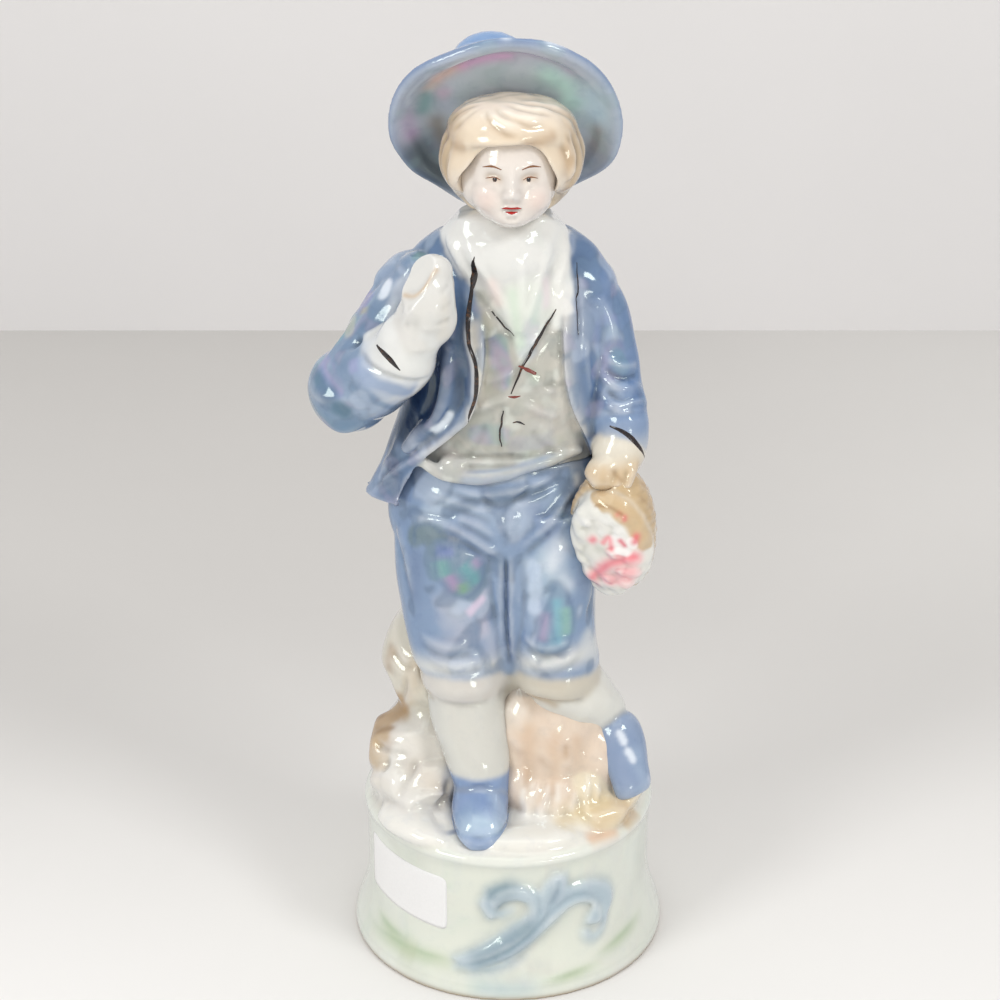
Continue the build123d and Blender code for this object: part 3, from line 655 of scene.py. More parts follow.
# Of these marks, the grey one high on the stump (x 4, z 77 to 86) is painted shade in the crevice
# between the legs.
for shade, spots, width, strength, parts in (
    ((216, 192, 144), ((11, -29.2, 47.5), (20.2, -25, 48), (31, -21, 50)), 3.6, 0.65,
     ("turf", "step_rock", "tree_stump")),
    ((220, 172, 130), ((21, -33.6, 45), (27, -30, 45), (31, -26, 45)), 2.6, 0.65, ("turf", "plinth")),
    ((166, 130, 86), ((-37.5, -0.9, 61.2), (-32.6, -2.4, 68.5), (-29.4, -6.1, 72.5)), 3.0, 0.55,
     rocks),
    ((190, 184, 176), ((-31, -11.3, 59.1), (-25.3, -15, 55.9), (-20.7, -14.4, 59.5)), 3.0, 0.45,
     ("lower_rock",)),
    ((226, 219, 208), ((3, -11, 70), (4, -12, 76)), 4.0, 0.7, ("tree_stump",)),
    ((172, 168, 163), ((3.6, -12, 77), (4, -10, 86)), 4.8, 0.8, ("tree_stump",)),
    ((66, 92, 140), ((-15.6, -31, 49), (-15.2, -33, 47.6)), 2.0, 0.7, ("turf",)),
    ((116, 138, 150), on_plinth((-12, 9), (-2.4, 16.5), (5, 22), (9, 25), lift=1.4), 3.2, 0.6,
     ("scroll_relief",)),
    ((120, 142, 154), on_plinth((-5, 31), (-3, 34), (1, 35.6)), 2.2, 0.6, ("scroll_relief",)),
    ((186, 194, 164), on_plinth((-31, 9), (-26, 8)), 3.4, 0.5, ("plinth",)),
    ((206, 208, 198), on_plinth((4, 9), (13, 8)), 4.0, 0.5, ("plinth",)),
):
    base.spray(shade, spots, width, strength, parts, 0.2)
base.pool(0.16, 0.3)
base.wash((164, 142, 112), np.clip((1.3 - level) / 0.9, 0, 1) * base.of("plinth"))
base.soften(2)
pearl_glaze = glaze("pearl_glaze", pearl=0.3)
scroll_glaze = glaze("scroll_blue_glaze", pearl=0.3, mottle=0.2)
rock_glaze = glaze("rock_glaze", pearl=0.15, mottle=0.14)
base.part_off("plinth", pearl_glaze)
base.part_off("scroll_relief", scroll_glaze)
for rock in ("turf", "lower_rock", "upper_rock", "tree_stump", "step_rock"):
    base.part_off(rock, rock_glaze, wall=1.2)

# ------------------------------------------------------------
# Legs: shoes, stockings, knee bands and breeches. Cast in one mould and trimmed at the seam.
# The cloth folds are in the mould; the blue is sprayed and dies away to white at the hems.
legs = Casting(0.6)
legs.press("right_shoe", "left_shoe", "right_stocking", "left_stocking",
           "right_knee_band", "left_knee_band", "breeches")
legs.pellet("breeches", (-14.5, -3.4, 119), (15.4, 13.2, 24))
legs.pellet("breeches", (11.5, -3.4, 119), (13.2, 13.2, 24))
legs.pellet("breeches", (-1.5, -3.4, 132), (15, 12.6, 13))
legs.coil("breeches", ((0.4, -8.6, 89.5), (0, -9.4, 104), (-0.6, -9.8, 118), (-0.8, -9.2, 128)),
          (5.0, 5.6, 6.0, 6.4))
legs.coil("breeches", ((0.3, 5, 92), (0, 6, 104), (-0.6, 7, 118), (-0.8, 7, 128)),
          (4.6, 5.2, 5.8, 6.6))
legs.coil("left_knee_band", ((0.6, -7, 80), (0.4, -8, 87)), (4.2, 4.4))
legs.coil("right_shoe", ((-15.4, -14, 46.2), (-15.2, -26, 46.2), (-11, -36, 46.2), (-5, -36, 46.2),
                         (-0.8, -26, 46.2), (-0.6, -14, 46.2)), (1.3,) * 6)
legs.fuse(6)
legs.co -= (0.7 * legs.of("right_knee_band", "left_knee_band"))[:, None] * legs.out
legs.knead(legs.of("right_knee_band", "left_knee_band")
           + 0.7 * legs.around((-13, -12, 79), (14, 14, 5))
           + 0.7 * legs.around((13, -12, 79), (14, 14, 5)), 12)
legs.knead(legs.around((-0.8, -14, 121), (9, 7, 6)) + legs.around((0, 12, 126), (24, 8, 7)), 16)
hem = np.exp(-((legs.co[:, 2] - 84) / 5.5) ** 2)
legs.knead(hem, 26)
# the left shoe is pushed narrower at the toe, and lifted at its sole
legs.push((43, -12, 50), (5, 9, 12), (-2.0, 0, 0))
legs.push((38, -22, 47), (7, 5, 6), (-0.6, 1.0, 0.8))
legs.push((26, -14, 47), (4, 8, 7), (1.2, 0, 1.0))
legs.push((24.5, -16, 52), (5, 9, 8), (2.2, 0, 0.6))
legs.push((39, -15, 45.5), (7, 9, 5), (-1.6, 2.0, 3.0))
ridges = (
    (((-20, -14.5, 133), (-14.6, -15.8, 131.5), (-8.7, -16, 128), (-1.6, -15.5, 123.5)), 1.5, 0.8),
    (((-16, -14.5, 135.5), (-9, -15.8, 133), (-3, -15.8, 128.5)), 1.1, 0.5),
    (((2.5, -15.5, 124.5), (6.5, -15.6, 128.5), (12.4, -14, 134.5), (20, -10, 143)), 1.3, 0.7),
    (((-20, -12, 145), (-8, -14, 141.5), (6, -14, 143.5), (17, -11, 148)), 1.3, 0.6),
    (((-24, -10, 141), (-12, -14.5, 138.5), (-4, -15, 136)), 1.2, 0.5),
    (((-24, -12, 101), (-17, -16.5, 97.5), (-9, -17, 99)), 1.6, 0.7),
    (((-22, -14, 94), (-13, -18.5, 92), (-5, -16, 94)), 1.5, 0.6),
    (((3, -14, 100), (10, -17, 97), (18, -15.5, 99.5)), 1.5, 0.7),
    (((4, -15, 93), (12, -18.4, 92), (20, -14, 96)), 1.4, 0.6),
    (((-30, -4, 132), (-27, -10, 122), (-25.5, -13, 110)), 2.0, 0.8),
    (((23, -6, 128), (22.5, -10, 116), (22, -12, 104)), 1.8, 0.7),
    (((-26, 10, 130), (-16, 15, 124), (-5, 14, 120)), 2.2, 0.9),
    (((23, 8, 130), (14, 14, 124), (3, 14, 120)), 2.2, 0.9),
    (((-25, 4, 104), (-16, 9, 100), (-6, 6, 103)), 1.8, 0.8),
    (((22, 4, 104), (14, 9, 100), (5, 6, 103)), 1.8, 0.8))
for spots, width, lift in ridges:
    legs.fold(spots, width, lift)
    legs.fold([(x, y, z - 2.1 * width) for x, y, z in spots], width * 0.75, -0.75 * lift)
legs.settle(1)
grooves = (
    (((-8.4, -13.8, 144), (-6.2, -14.6, 139.4), (-2.4, -14.8, 138), (3, -13.8, 140),
      (6.5, -13, 144.5)), 0.8, -0.6),
    (((-1.0, -16, 125), (-0.8, -16, 117), (-0.8, -15, 104), (-0.2, -14, 94), (0.6, -13, 87)), 0.8,
     -1.5),
    (((-0.8, 14, 137), (-0.8, 13, 120), (-0.4, 10, 104), (0, 8, 92)), 1.0, -1.6),
    (((27, -18, 50.5), (33, -22.5, 49.5), (39, -19, 51), (41, -10, 55)), 0.6, -0.5),
    (((-0.6, -15.5, 140), (-0.9, -15.8, 132), (-0.9, -15.8, 125)), 0.7, -0.35),
    (((-22, -16, 80.5), (-13, -20.5, 79.4), (-4, -17, 80)), 0.8, -0.35),
    (((4, -17, 80), (13, -20.6, 79), (22, -16, 80)), 0.8, -0.35),
    (((-15.6, -20, 49), (-12, -33, 48.4), (-7.8, -37, 48.2), (-3, -33, 48.4), (-0.4, -20, 49)), 0.6,
     -0.5),
    (((-14, -20, 55.5), (-8, -23.5, 57.5), (-2, -20, 55.5)), 0.7, -0.5))
for spots, width, lift in grooves:
    legs.fold(spots, width, lift, 0.15)
legs.ripple(6.0, 0.28, legs.of("breeches"))
legs.ripple(4.0, 0.2, 1 - legs.of("breeches"))
legs.settle(2)
blue, crease_shade_blue, pale_blue = (126, 147, 178), (70, 96, 140), (172, 187, 207)
legs.colour(right_shoe=(128, 150, 188), left_shoe=(132, 150, 180), right_stocking=(208, 206, 198),
            left_stocking=(218, 216, 208), right_knee_band=(208, 203, 196),
            left_knee_band=(198, 190, 175), breeches=blue)
cloth = ("breeches",)
for spots, width, strength in (
    (((-18, -14, 142), (-4, -15, 136), (8, -13, 142)), 6.0, 0.55),
    (((-12, -16, 106), (-9, -16, 116)), 6.0, 0.45), (((6, -16, 118), (8, -16, 106)), 5.0, 0.5),
    (((-30, 0, 140), (-28, 0, 120)), 5.0, 0.3), (((-16, 14, 130), (12, 14, 130)), 9.0, 0.35),
):
    legs.spray(pale_blue, spots, width, strength, cloth)
for spots in (
    ((-26, -8, 90), (-20, -16, 90.5), (-12, -19, 91), (-4, -16, 90.5)),
    ((4, -15, 91), (12, -18, 92.5), (22, -14, 94), (25, -6, 94)),
    ((-26, 0, 90), (-14, 6, 90), (-2, 0, 90)), ((2, 0, 90), (13, 6, 91), (25, 0, 93)),
):
    legs.spray((214, 213, 208), spots, 3.2, 0.9, cloth)
# painted shade: a dark blue line in the crease between the legs, and down the side of the left hip
for spots in (
    ((-0.8, -12, 124), (-0.8, -8, 106), (0.6, -11, 88)),
    ((22, -12, 146), (24, -10, 136), (24, -9, 128)),
):
    legs.spray(crease_shade_blue, spots, 1.7, 0.8, cloth, 0.1)
for spots, width, strength, shade in (
    (((-19, -14, 138), (-22, -13, 132)), 5.0, 0.6, (186, 200, 214)),
    (((-17, -16.5, 110), (-13, -16.5, 100), (-18, -16.5, 97)), 5.0, 0.6, (180, 183, 196)),
    (((10, -15.5, 122), (13, -15.5, 114)), 6.0, 0.7, (170, 190, 206)),
    (((22, -13, 97), (24, -10, 91)), 4.5, 0.7, (206, 209, 211)),
    (((-6, -16.5, 112), (-6.5, -16.5, 101)), 2.2, 0.5, (214, 202, 214)),
    (((4, -14.5, 141), (14, -13, 144)), 3.2, 0.6, (124, 144, 178)),
    (((-6, -14.5, 144.5), (4, -14, 145.5)), 1.2, 0.7, (196, 206, 218)),
):
    legs.spray(shade, spots, width, strength, cloth, 0.0, 0.9)
legs.dapple((98, 118, 146), 6.5, 0.55, cloth, 1.3, 0.25)
legs.dapple((186, 198, 216), 8.0, 0.5, cloth, 4.1, 0.35)
legs.marks(cloth,
    ((108, 126, 132), ((-25, -12.6, 128.5), (-21, -14.4, 130.0), (-20, -14.8, 127)), 3.2, 0.8, 0,
     0.25),
    ((108, 130, 152), ((-18.4, -15.8, 122.6), (-14, -16.4, 120), (-11, -16.2, 117)), 5.6, 0.85, 0,
     0.1),
    ((126, 150, 174), ((13.4, -16.2, 114.4), (13.4, -16.6, 109)), 2.2, 0.85, 0, 0.15),
    ((126, 150, 174), ((13.2, -16.8, 106), (12.4, -17.2, 99.6)), 4.4, 0.85, 0, 0.1),
    ((96, 112, 148), ((-25, -13, 122), (-26, -13.4, 112)), 3.4, 0.5),
    ((110, 128, 162), ((7, -14.6, 137), (11, -15, 132)), 3.0, 0.55),
    ((186, 190, 204), ((-6, -15, 99), (-4.6, -14.6, 94)), 2.6, 0.55))
for shade, spots, width in (
    ((104, 160, 156), ((-18.6, -16, 122.6), (-17.2, -16.6, 117.6)), 2.3),
    ((168, 138, 176), ((-16.4, -16.6, 118.6), (-14.4, -17, 113.4)), 1.7),
    ((98, 160, 164), ((-13, -16.2, 121.4), (-10, -16, 118), (-8.8, -15.6, 115)), 2.1),
    ((118, 160, 126), ((-13, -16.9, 116), (-11.8, -16.8, 112.8)), 1.7),
    ((118, 132, 186), ((-20, -15.5, 125.2), (-15, -16, 125.0)), 1.7),
    ((168, 148, 184), ((-9.8, -15, 122.6), (-8, -15, 120)), 1.5),
    ((166, 148, 180), ((10.4, -16.6, 107.6), (9.0, -17, 98)), 1.7),
    ((118, 176, 192), ((13.0, -16.4, 112), (13.2, -16.8, 105), (12.6, -17.4, 97)), 1.7),
    ((134, 178, 164), ((15.8, -16.4, 109), (16.2, -16.8, 100)), 1.8),
):
    legs.spray(shade, spots, width, 0.75, cloth, 0.1)
for ring in (
    ((-20.2, -15.5, 124.3), (-16.8, -15.8, 126.2), (-11.7, -15.4, 125.6), (-7.0, -15.5, 122.4),
     (-7.5, -14.9, 115.4), (-11.3, -16.8, 111.8), (-15.2, -17.3, 113.0), (-19.4, -16.4, 118.2),
     (-20.2, -15.5, 124.3)),
    ((13.4, -16.2, 117.0), (10.5, -16.5, 108.9), (7.8, -16.7, 97.6), (9.6, -17.4, 95.2),
     (13, -17.9, 95.0), (16.6, -16.8, 97.6), (18.0, -15.2, 105.4), (16.0, -15.9, 112.4),
     (13.4, -16.2, 117.0)),
    ((-25.4, -12.4, 126.4), (-25.8, -12.0, 130.4), (-21.4, -14.4, 132.4), (-18.0, -15, 129.6)),
):
    legs.spray((84, 108, 142), ring, 0.5, 0.6, cloth)
for spots, width in (
    (((-5.4, -14.3, 141.2), (2, -14, 141.6), (8.6, -12.8, 141.4)), 2.4),
    (((-17, -14.2, 135.8), (-9.4, -14.4, 139)), 1.9), (((12, -14, 137), (15, -13.5, 133)), 1.5),
):
    legs.spray((102, 122, 148), spots, width, 0.7, cloth, 0, 0.2)
# The last of these marks, near white on the left hip, is a painted highlight.
legs.marks(cloth,
    ((64, 88, 132), ((10.3, -15.3, 130.4), (10.4, -15.3, 130.0)), 0.9, 0.8, 0, 0.4),
    ((222, 202, 222), ((-11.4, -17.1, 106.4), (-8.4, -15.9, 109.4), (-6.4, -14.4, 111.4)), 1.3, 0.75,
     0.1, 0.5),
    ((218, 223, 230), ((13.4, -15.6, 126), (11.6, -15.9, 121.6)), 2.8, 0.75),
    ((208, 216, 226), ((14.8, -16.0, 117.4), (16.6, -15.2, 114.8)), 1.8, 0.6),
    ((196, 210, 228), ((6.4, -14.5, 121), (7.4, -15, 115), (6.6, -15.5, 108)), 2.4, 0.75, 0, 0.6),
    ((232, 236, 240), ((19.6, -9.5, 146), (19.2, -9.5, 141)), 1.1, 0.8, 0.3))
legs.lustre(((-24, 8, 118), (-16, 13, 112)), 6.0, 0.5, 8)
legs.lustre(((14, 12, 122), (16, 10, 112)), 5.0, 0.5, 8)
for spots in (
    ((-21, -14.5, 131), (-14, -16, 129), (-8, -16.5, 123), (-6, -16.5, 114)),
    ((12, -16, 112), (12, -16.4, 104), (13, -16.4, 97)),
):
    legs.spray((104, 124, 158), spots, 0.7, 0.6, cloth, 0.2)
instep = np.clip((60 - legs.co[:, 2]) / 1.2, 0, 1) * np.clip((-14.5 - legs.co[:, 1]) / 1.2, 0, 1)
legs.wash((128, 150, 188), instep * legs.of("right_stocking"))
# Painted light on the shoes: the pale marks are painted sheen on the toes and instep, the dark ones
# painted shade down their shaded sides.
legs.marks(("right_shoe", "left_shoe"),
    ((176, 194, 214), ((-11, -34, 49), (-5, -34, 50)), 4.0, 0.6),
    ((176, 194, 214), ((-4, -26, 56), (-3, -32, 51)), 2.2, 0.5),
    ((176, 194, 214), ((34, -14, 60), (37, -18, 54)), 2.5, 0.4),
    ((58, 82, 126), ((-15, -16, 50), (-15.4, -26, 48), (-13, -34, 46)), 2.2, 0.7),
    ((58, 82, 126), ((28, -12, 50), (34, -20, 47)), 2.6, 0.7))
# painted shadow: brown on the stocking under the left knee band
legs.spray(
    (176, 150, 112), ((3, -16, 80.5), (10, -18, 79.5), (15, -17, 78)), 1.8, 0.5,
    ("left_stocking", "left_knee_band"), 0.2)
legs.pool()
# Painted shade down the left shoe's lower side, and painted highlights on its top and toe.
legs.marks(("left_shoe",),
    ((92, 108, 146), ((40.5, -10, 62), (41.5, -12, 56), (40, -14, 52)), 2.2, 0.7, 0, 0.5),
    ((232, 238, 246), ((31.4, -15, 68.2), (32.4, -16, 66.4)), 1.2, 0.8, 0, 0.3),
    ((232, 238, 246), ((34.2, -17.4, 64), (35.2, -18, 61.6)), 1.1, 0.8, 0, 0.3),
    ((226, 233, 243), ((38, -17, 56), (39, -17, 52)), 0.8, 0.7, 0.3))
# a painted highlight on the right toe
legs.spray((186, 204, 224), ((-9, -36, 50.5), (-5, -36.5, 51)), 3.0, 0.6, ("right_shoe",), 0, 0.6)
legs.soften(2)
suit_glaze = glaze("suit_blue_glaze", pearl=0.35, mottle=0.24)
white_glaze = glaze("stocking_white_glaze", pearl=0.12)
legs.part_off("breeches", suit_glaze, wall=1.2)
for side in ("right", "left"):
    legs.part_off(side + "_shoe", suit_glaze, wall=1.0)
    legs.part_off(side + "_stocking", white_glaze, wall=1.0)
    legs.part_off(side + "_knee_band", white_glaze, wall=1.0)

# ------------------------------------------------------------
# Body: waistcoat, open shirt, collar, jacket, sleeves, cuffs and hands. The trunk and each arm
# come from their own moulds and are luted together. Lapels, pleats and creases are tooled in
# the mould and picked out again before firing.
body = Casting(0.5)
body.press("waistcoat", "shirt_front", "collar", "jacket", "right_sleeve", "left_sleeve",
           "right_cuff", "left_cuff", "right_hand", "left_hand")
body.pellet("collar", (-1.2, -3.6, 206), (16.2, 12.4, 12.5))
body.pellet("shirt_front", (2.2, -9.0, 195), (9.6, 6.4, 14))
body.coil("waistcoat", ((-6.5, -9.5, 199), (-6.2, -11.2, 194), (-5.4, -12.4, 187)), (4.0, 3.8, 3.0))
body.coil("shirt_front",
          ((12.0, -5.4, 208), (12.4, -7.6, 201), (12.0, -9.4, 194), (12.2, -10.4, 188)),
          (3.4, 3.4, 3.0, 2.2))
body.coil("collar", ((-14.2, -3, 213), (-13.2, -8, 209), (-11, -11, 203)), (3.0, 3.4, 2.6))
right_edge = ((-11.5, -11.5, 201), (-10.6, -14.2, 192.7), (-11, -15.5, 186), (-9.6, -16.4, 179),
              (-9.2, -16.6, 172), (-10.6, -15.6, 164.6), (-15.2, -15.0, 159.5), (-21.2, -13.0, 153.8),
              (-27, -10.0, 148.9), (-34.5, -5.2, 142))
left_edge = ((15, -7.5, 205), (15.4, -10.0, 194.5), (15.2, -12.4, 184), (15.8, -12.4, 173),
             (18.2, -11.4, 164), (21.4, -9.8, 155))
body.coil("waistcoat",
          ((-24, -10, 149.2), (-18.7, -11.6, 146.6), (-13.2, -13.0, 145.6), (-6.5, -13.6, 145.9),
           (0.3, -13.4, 147), (5.6, -12.6, 148.9), (12.4, -11, 150.6), (19, -8, 151.5)),
          (1.6, 2.0, 2.2, 2.2, 2.1, 2.0, 1.8, 1.2))
body.pellet("waistcoat", (-14.5, -10.6, 148.4), (4.5, 3.4, 3.2))
body.coil("jacket", right_edge, (0.9, 1.1, 1.2, 1.2, 1.2, 1.2, 1.2, 1.1, 1.0, 0.8))
body.coil("jacket", left_edge, (0.8, 1.0, 1.1, 1.1, 1.1, 0.8))
body.coil("left_sleeve", ((27, -3, 170), (28.6, -5.2, 165), (30, -7.6, 160), (30.4, -8.4, 157.5)),
          (8.6, 8.3, 7.9, 7.3))
body.coil("jacket", ((-15.5, -13, 182), (-16.5, -13.6, 172), (-19.5, -12.5, 163), (-27, -9.5, 153)),
          (2.2, 2.8, 2.8, 1.8))
body.coil("right_sleeve", ((-24, -4, 200), (-33, -8, 186), (-41, -11, 174)), (6, 8, 9))
body.pellet("right_hand", (-21.8, -24.2, 199.5), (5.6, 5.0, 7.6), (12, -14, 18))
body.pellet("right_hand", (-19.0, -23.2, 194), (5.8, 5.4, 8.5))
body.pellet("right_hand", (-20.0, -22.6, 205), (5.8, 4.6, 4.8), (10, -12, 18))
for drop in (0, 1, 2, 3):
    z = 201.6 - 2.9 * drop
    body.coil("right_hand",
              ((-15.6, -20.5, z + 0.4), (-16.0, -24.6, z + 0.2), (-18.0, -27.4, z - 0.2),
               (-21.0, -28.7, z - 0.7)),
              (1.8, 1.9, 1.9, 1.5))
body.coil("right_hand", ((-25.0, -24, 189), (-25.6, -27.0, 193.5), (-24.8, -28.8, 197.0)),
          (2.6, 2.4, 1.9))
body.pellet("right_cuff", (-26.5, -21.0, 185), (8.4, 7.4, 10), (0, 0, 30))
body.coil("right_cuff", ((-31, -16, 178), (-25, -21, 186), (-21, -23.4, 193)), (9.2, 7.8, 6.0))
for across in (0, 1, 2, 3):
    x = 23.2 + 2.8 * across
    body.coil("left_hand",
              ((x + 2.4, -14.8, 153.0 - 0.4 * across), (x + 0.6, -18.8, 150.8 - 0.5 * across),
               (x - 0.2, -20.8, 147.4 - 0.3 * across)),
              (1.8, 1.9, 1.5))
body.pellet("left_hand", (29.6, -12.0, 153), (7.4, 6.8, 7))
body.fuse(6)
body.knead(body.around((-4, -14, 147), (22, 7, 4.5)), 10)
arms = body.of("right_cuff", "left_cuff", "right_hand", "left_hand")
body.knead(arms + 0.8 * body.around((30, -8, 158), 9) + 0.6 * body.around((-32, -14, 178), 12), 7)
body.knead(body.of("right_hand"), 6)
body.knead(body.of("right_cuff", "left_cuff") + 0.9 * body.around((30, -8, 159), 9), 40)
neck = body.of("collar", "shirt_front")
body.knead(neck + body.around((2, -14, 196), 8) + body.around((15, -7, 202), 8), 22)
body.knead(body.around((-6, -12, 196), 6), 20)
for hand in (-1, 1):
    body.push((-1.2 + 16.8 * hand, -2, 217), (4.5, 12, 4), (-1.8 * hand, 0, -2.4))
body.push((-1.2, -14, 217), (12, 4, 4), (0, 1.6, -2.2))
ridges = (
    (((-10, -8, 212), (-7.5, -12.5, 205), (-2, -15, 195), (2, -15.2, 185)), 1.4, 0.6),
    (((-14, -6, 211), (-12, -11, 205), (-8.5, -14, 199)), 1.4, 0.6),
    (((3, -12, 207), (3.4, -14.5, 200), (3.2, -15.2, 190)), 1.1, 0.35),
    (((9.5, -8, 212), (8.8, -12, 204), (6, -14.5, 195), (4, -15.5, 186)), 1.4, 0.6),
    (((14, -5, 211), (13.6, -8.5, 204), (11.5, -11.5, 196)), 1.4, 0.6),
    (((-30, 0, 200), (-35, -4, 190), (-40, -6, 181)), 2.2, 1.0),
    (((-28, -10, 196), (-32, -13, 187), (-37, -15, 180)), 1.8, 1.0),
    (((-50, -6, 168), (-44, -14, 162), (-36, -18, 164)), 1.8, 0.8),
    (((-51, -2, 174), (-46, -14, 170), (-38, -19, 172)), 1.6, 0.8),
    (((-40, 2, 178), (-46, 0, 172), (-50, -2, 166)), 1.8, 0.8),
    (((24, -9, 196), (27, -9.5, 188), (28.5, -9, 180)), 1.8, 0.8),
    (((-9, -15.5, 165), (-4, -16, 167.5), (1, -16, 169)), 1.3, 0.7),
    (((-8, -15.5, 173.5), (-3, -16, 175), (2, -16, 176.5)), 1.3, 0.6),
    (((4, -16, 175.5), (9, -15, 171.5), (13, -13.5, 170)), 1.3, 0.6),
    (((3, -16, 168.5), (9, -15, 164.5), (14, -13, 162)), 1.3, 0.6),
    (((-18, -12, 151.5), (-8, -14, 150), (2, -14, 150.5), (12, -12.5, 152.5)), 1.1, 0.6),
    (((25, -10, 178.5), (30, -11, 176.5), (34.5, -6, 175.5)), 1.2, 0.8),
    (((24.5, -11, 173), (30, -12, 170.5), (35.5, -7, 170)), 1.2, 0.9),
    (((25, -12, 167), (30, -13.5, 164.5), (36, -9, 164)), 1.2, 0.8),
    (((20, -11, 186), (20.5, -12, 176), (22.5, -11, 166)), 1.4, 0.7),
    (((-33, -10, 163), (-34, -8, 152), (-38, -4, 143)), 1.8, 0.9),
    (((-26, -13, 168), (-26, -12, 158), (-30, -9, 150)), 1.6, 0.8),
    (((-30, 8, 184), (-24, 14, 168), (-26, 17, 150)), 2.2, 1.0),
    (((22, 8, 184), (18, 14, 168), (20, 15, 150)), 2.2, 1.0),
    (((-12, 16, 186), (-10, 17, 166), (-12, 19, 146)), 2.0, 0.8),
    (((9, 15, 186), (8, 16, 166), (8, 17, 150)), 2.0, 0.8))
for spots, width, lift in ridges:
    body.fold(spots, width, lift)
body.settle(1)
grooves = (
    (((-9.7, -12.9, 198.5), (-5, -12.2, 192.2), (-0.9, -13.8, 187.5), (2.6, -15.4, 180.5)), 0.7,
     -0.5),
    (((12.5, -10, 193), (9.6, -12.3, 187.5), (6.5, -14.1, 182.6), (3.2, -15.3, 178.5),
      (0.5, -15.7, 170.2)), 0.6, -0.5),
    (((-1.2, -15.5, 168), (-2.2, -15, 160), (-2.2, -14, 152)), 0.6, -0.4),
    (((17.6, -7.4, 203.6), (17.9, -10.2, 196.9), (18.2, -11.8, 190), (18.4, -12.5, 182)), 0.6, -0.5),
    (((-15.4, -11, 149.2), (-5.1, -13.4, 151.9), (1.6, -13.4, 151.9), (15.1, -9.8, 150.5)), 0.8,
     -0.5),
    (((-13, -15, 178), (-12.8, -15.4, 168), (-18, -14, 159)), 1.5, -1.0),
    (((-22, -13, 180), (-21.5, -13.6, 168), (-24, -12.5, 160)), 1.8, -1.3),
    (((-31, -9, 186), (-35, -13, 181), (-39, -15, 178)), 1.1, -1.0),
    (((24.5, -11, 175.5), (30, -12, 173.5), (35, -7, 172.8)), 0.9, -0.8),
    (((24.5, -12, 169.8), (30, -13, 167.5), (36, -8, 167)), 0.9, -0.8),
    (((-36, -8, 150), (-38, -5, 144), (-39, -2, 140)), 1.0, -0.7),
    (((-2, 17, 204), (-2, 18, 180), (-3, 19, 150)), 0.8, -0.7),
    (((-6, -14.5, 162), (-8, -14, 156), (-12, -13, 151)), 1.3, -0.5),
    (((6, -14.5, 160), (9, -13.5, 155), (14, -11.5, 152)), 1.3, -0.5),
    (((4, -15, 175), (8, -14, 172), (13, -12.5, 173)), 1.4, -0.5))
for spots, width, lift in grooves:
    body.fold(spots, width, lift, 0.2)
body.fold(
    ((-39, -18, 184), (-35.5, -24.5, 181), (-29.6, -27.5, 179), (-23.3, -25.5, 177.4),
     (-20.5, -22, 177.6)), 0.9, -0.7, 0.2)
body.ripple(5.0, 0.26)
# the fist closes round something thin that was cut flush, and shows as an oval facet
facet = np.array((-23.0, -26.0, 203.4))
body.face_off(facet, (-0.60, -0.58, 0.56), 9.5)
facet_rim = ((-26.6, -25.6, 200), (-24.5, -28.4, 201.0), (-22.0, -28.9, 202.9), (-20.0, -28.0, 204.9),
             (-18.6, -25.4, 206.4))
body.fold(facet_rim, 0.6, 0.35)
for spots in (
    ((25.4, -19, 151.5), (24.2, -22, 147)), ((28.2, -19, 151), (27.2, -22, 146.5)),
    ((31.2, -18.6, 150.6), (30.2, -22, 146)), ((-15, -25, 203), (-18, -28.5, 200.5)),
    ((-15, -26, 198.6), (-18.5, -29, 197)), ((-15.4, -26, 194.4), (-19.5, -29, 193.4)),
    ((-24, -28, 198), (-25.5, -27, 191)),
):
    body.fold(spots, 0.7, -0.45, 0.35)
body.settle(2)
body.colour(waistcoat=(184, 181, 172), shirt_front=(229, 230, 224), collar=(231, 230, 226),
            jacket=(98, 122, 158), right_sleeve=(118, 139, 166), left_sleeve=(106, 130, 168),
            right_hand=(219, 217, 212), right_cuff=(225, 225, 222), left_hand=(222, 214, 198),
            left_cuff=(124, 146, 180))
body.spray(
    (150, 168, 198), ((-38, -18, 180), (-34, -20, 172), (-28, -20, 168)), 4.0, 0.7, ("right_cuff",))
body.marks(
    ("left_cuff",),
    ((196, 195, 196), ((25, -13, 153.5), (29, -17, 153.5), (34, -15, 151.5), (36, -9, 151)), 3.0,
     0.9),
    ((196, 195, 196), ((25, -6, 153), (31, -2, 153), (36, -6, 152)), 3.0, 0.9))
body.spray((196, 160, 112), facet_rim, 0.55, 0.7)
body.spray((222, 214, 200), ((-17, -28, 199), (-17, -27, 190)), 1.6, 0.4, ("right_hand",))
for low in (149.5, 146):
    body.spray(
        (208, 182, 146), ((21, -19, low), (25, -21.5, low), (30, -22, low), (35, -19, low)), 3.2,
        0.95, ("left_hand",))
for spots in (
    ((22, -20, 151), (26, -21.6, 147.5)), ((26.4, -20, 151), (31, -21.6, 146.6)),
    ((32, -18.4, 151), (34.6, -19, 147)),
):
    body.spray((150, 112, 70), spots, 0.55, 0.7, ("left_hand",), 0.3)
x, y, z = body.co.T
ahead = np.clip(-2 * body.out[:, 1], 0, 1)
left_of = np.interp(z, (178, 187.5, 192.2, 199), (2.8, -0.9, -5, -9.5))
right_of = np.interp(z, (177.8, 182.6, 187.5, 192.3, 199), (3.3, 6.5, 9.6, 12.2, 15))
opening = np.clip((x - left_of) / 0.7, 0, 1) * np.clip((right_of - x) / 0.7, 0, 1)
opening *= (z > 178) * (z < 200)
body.wash((227, 229, 221), opening * ahead * body.of("waistcoat", "shirt_front"))
coat = ("jacket", "right_sleeve", "left_sleeve")
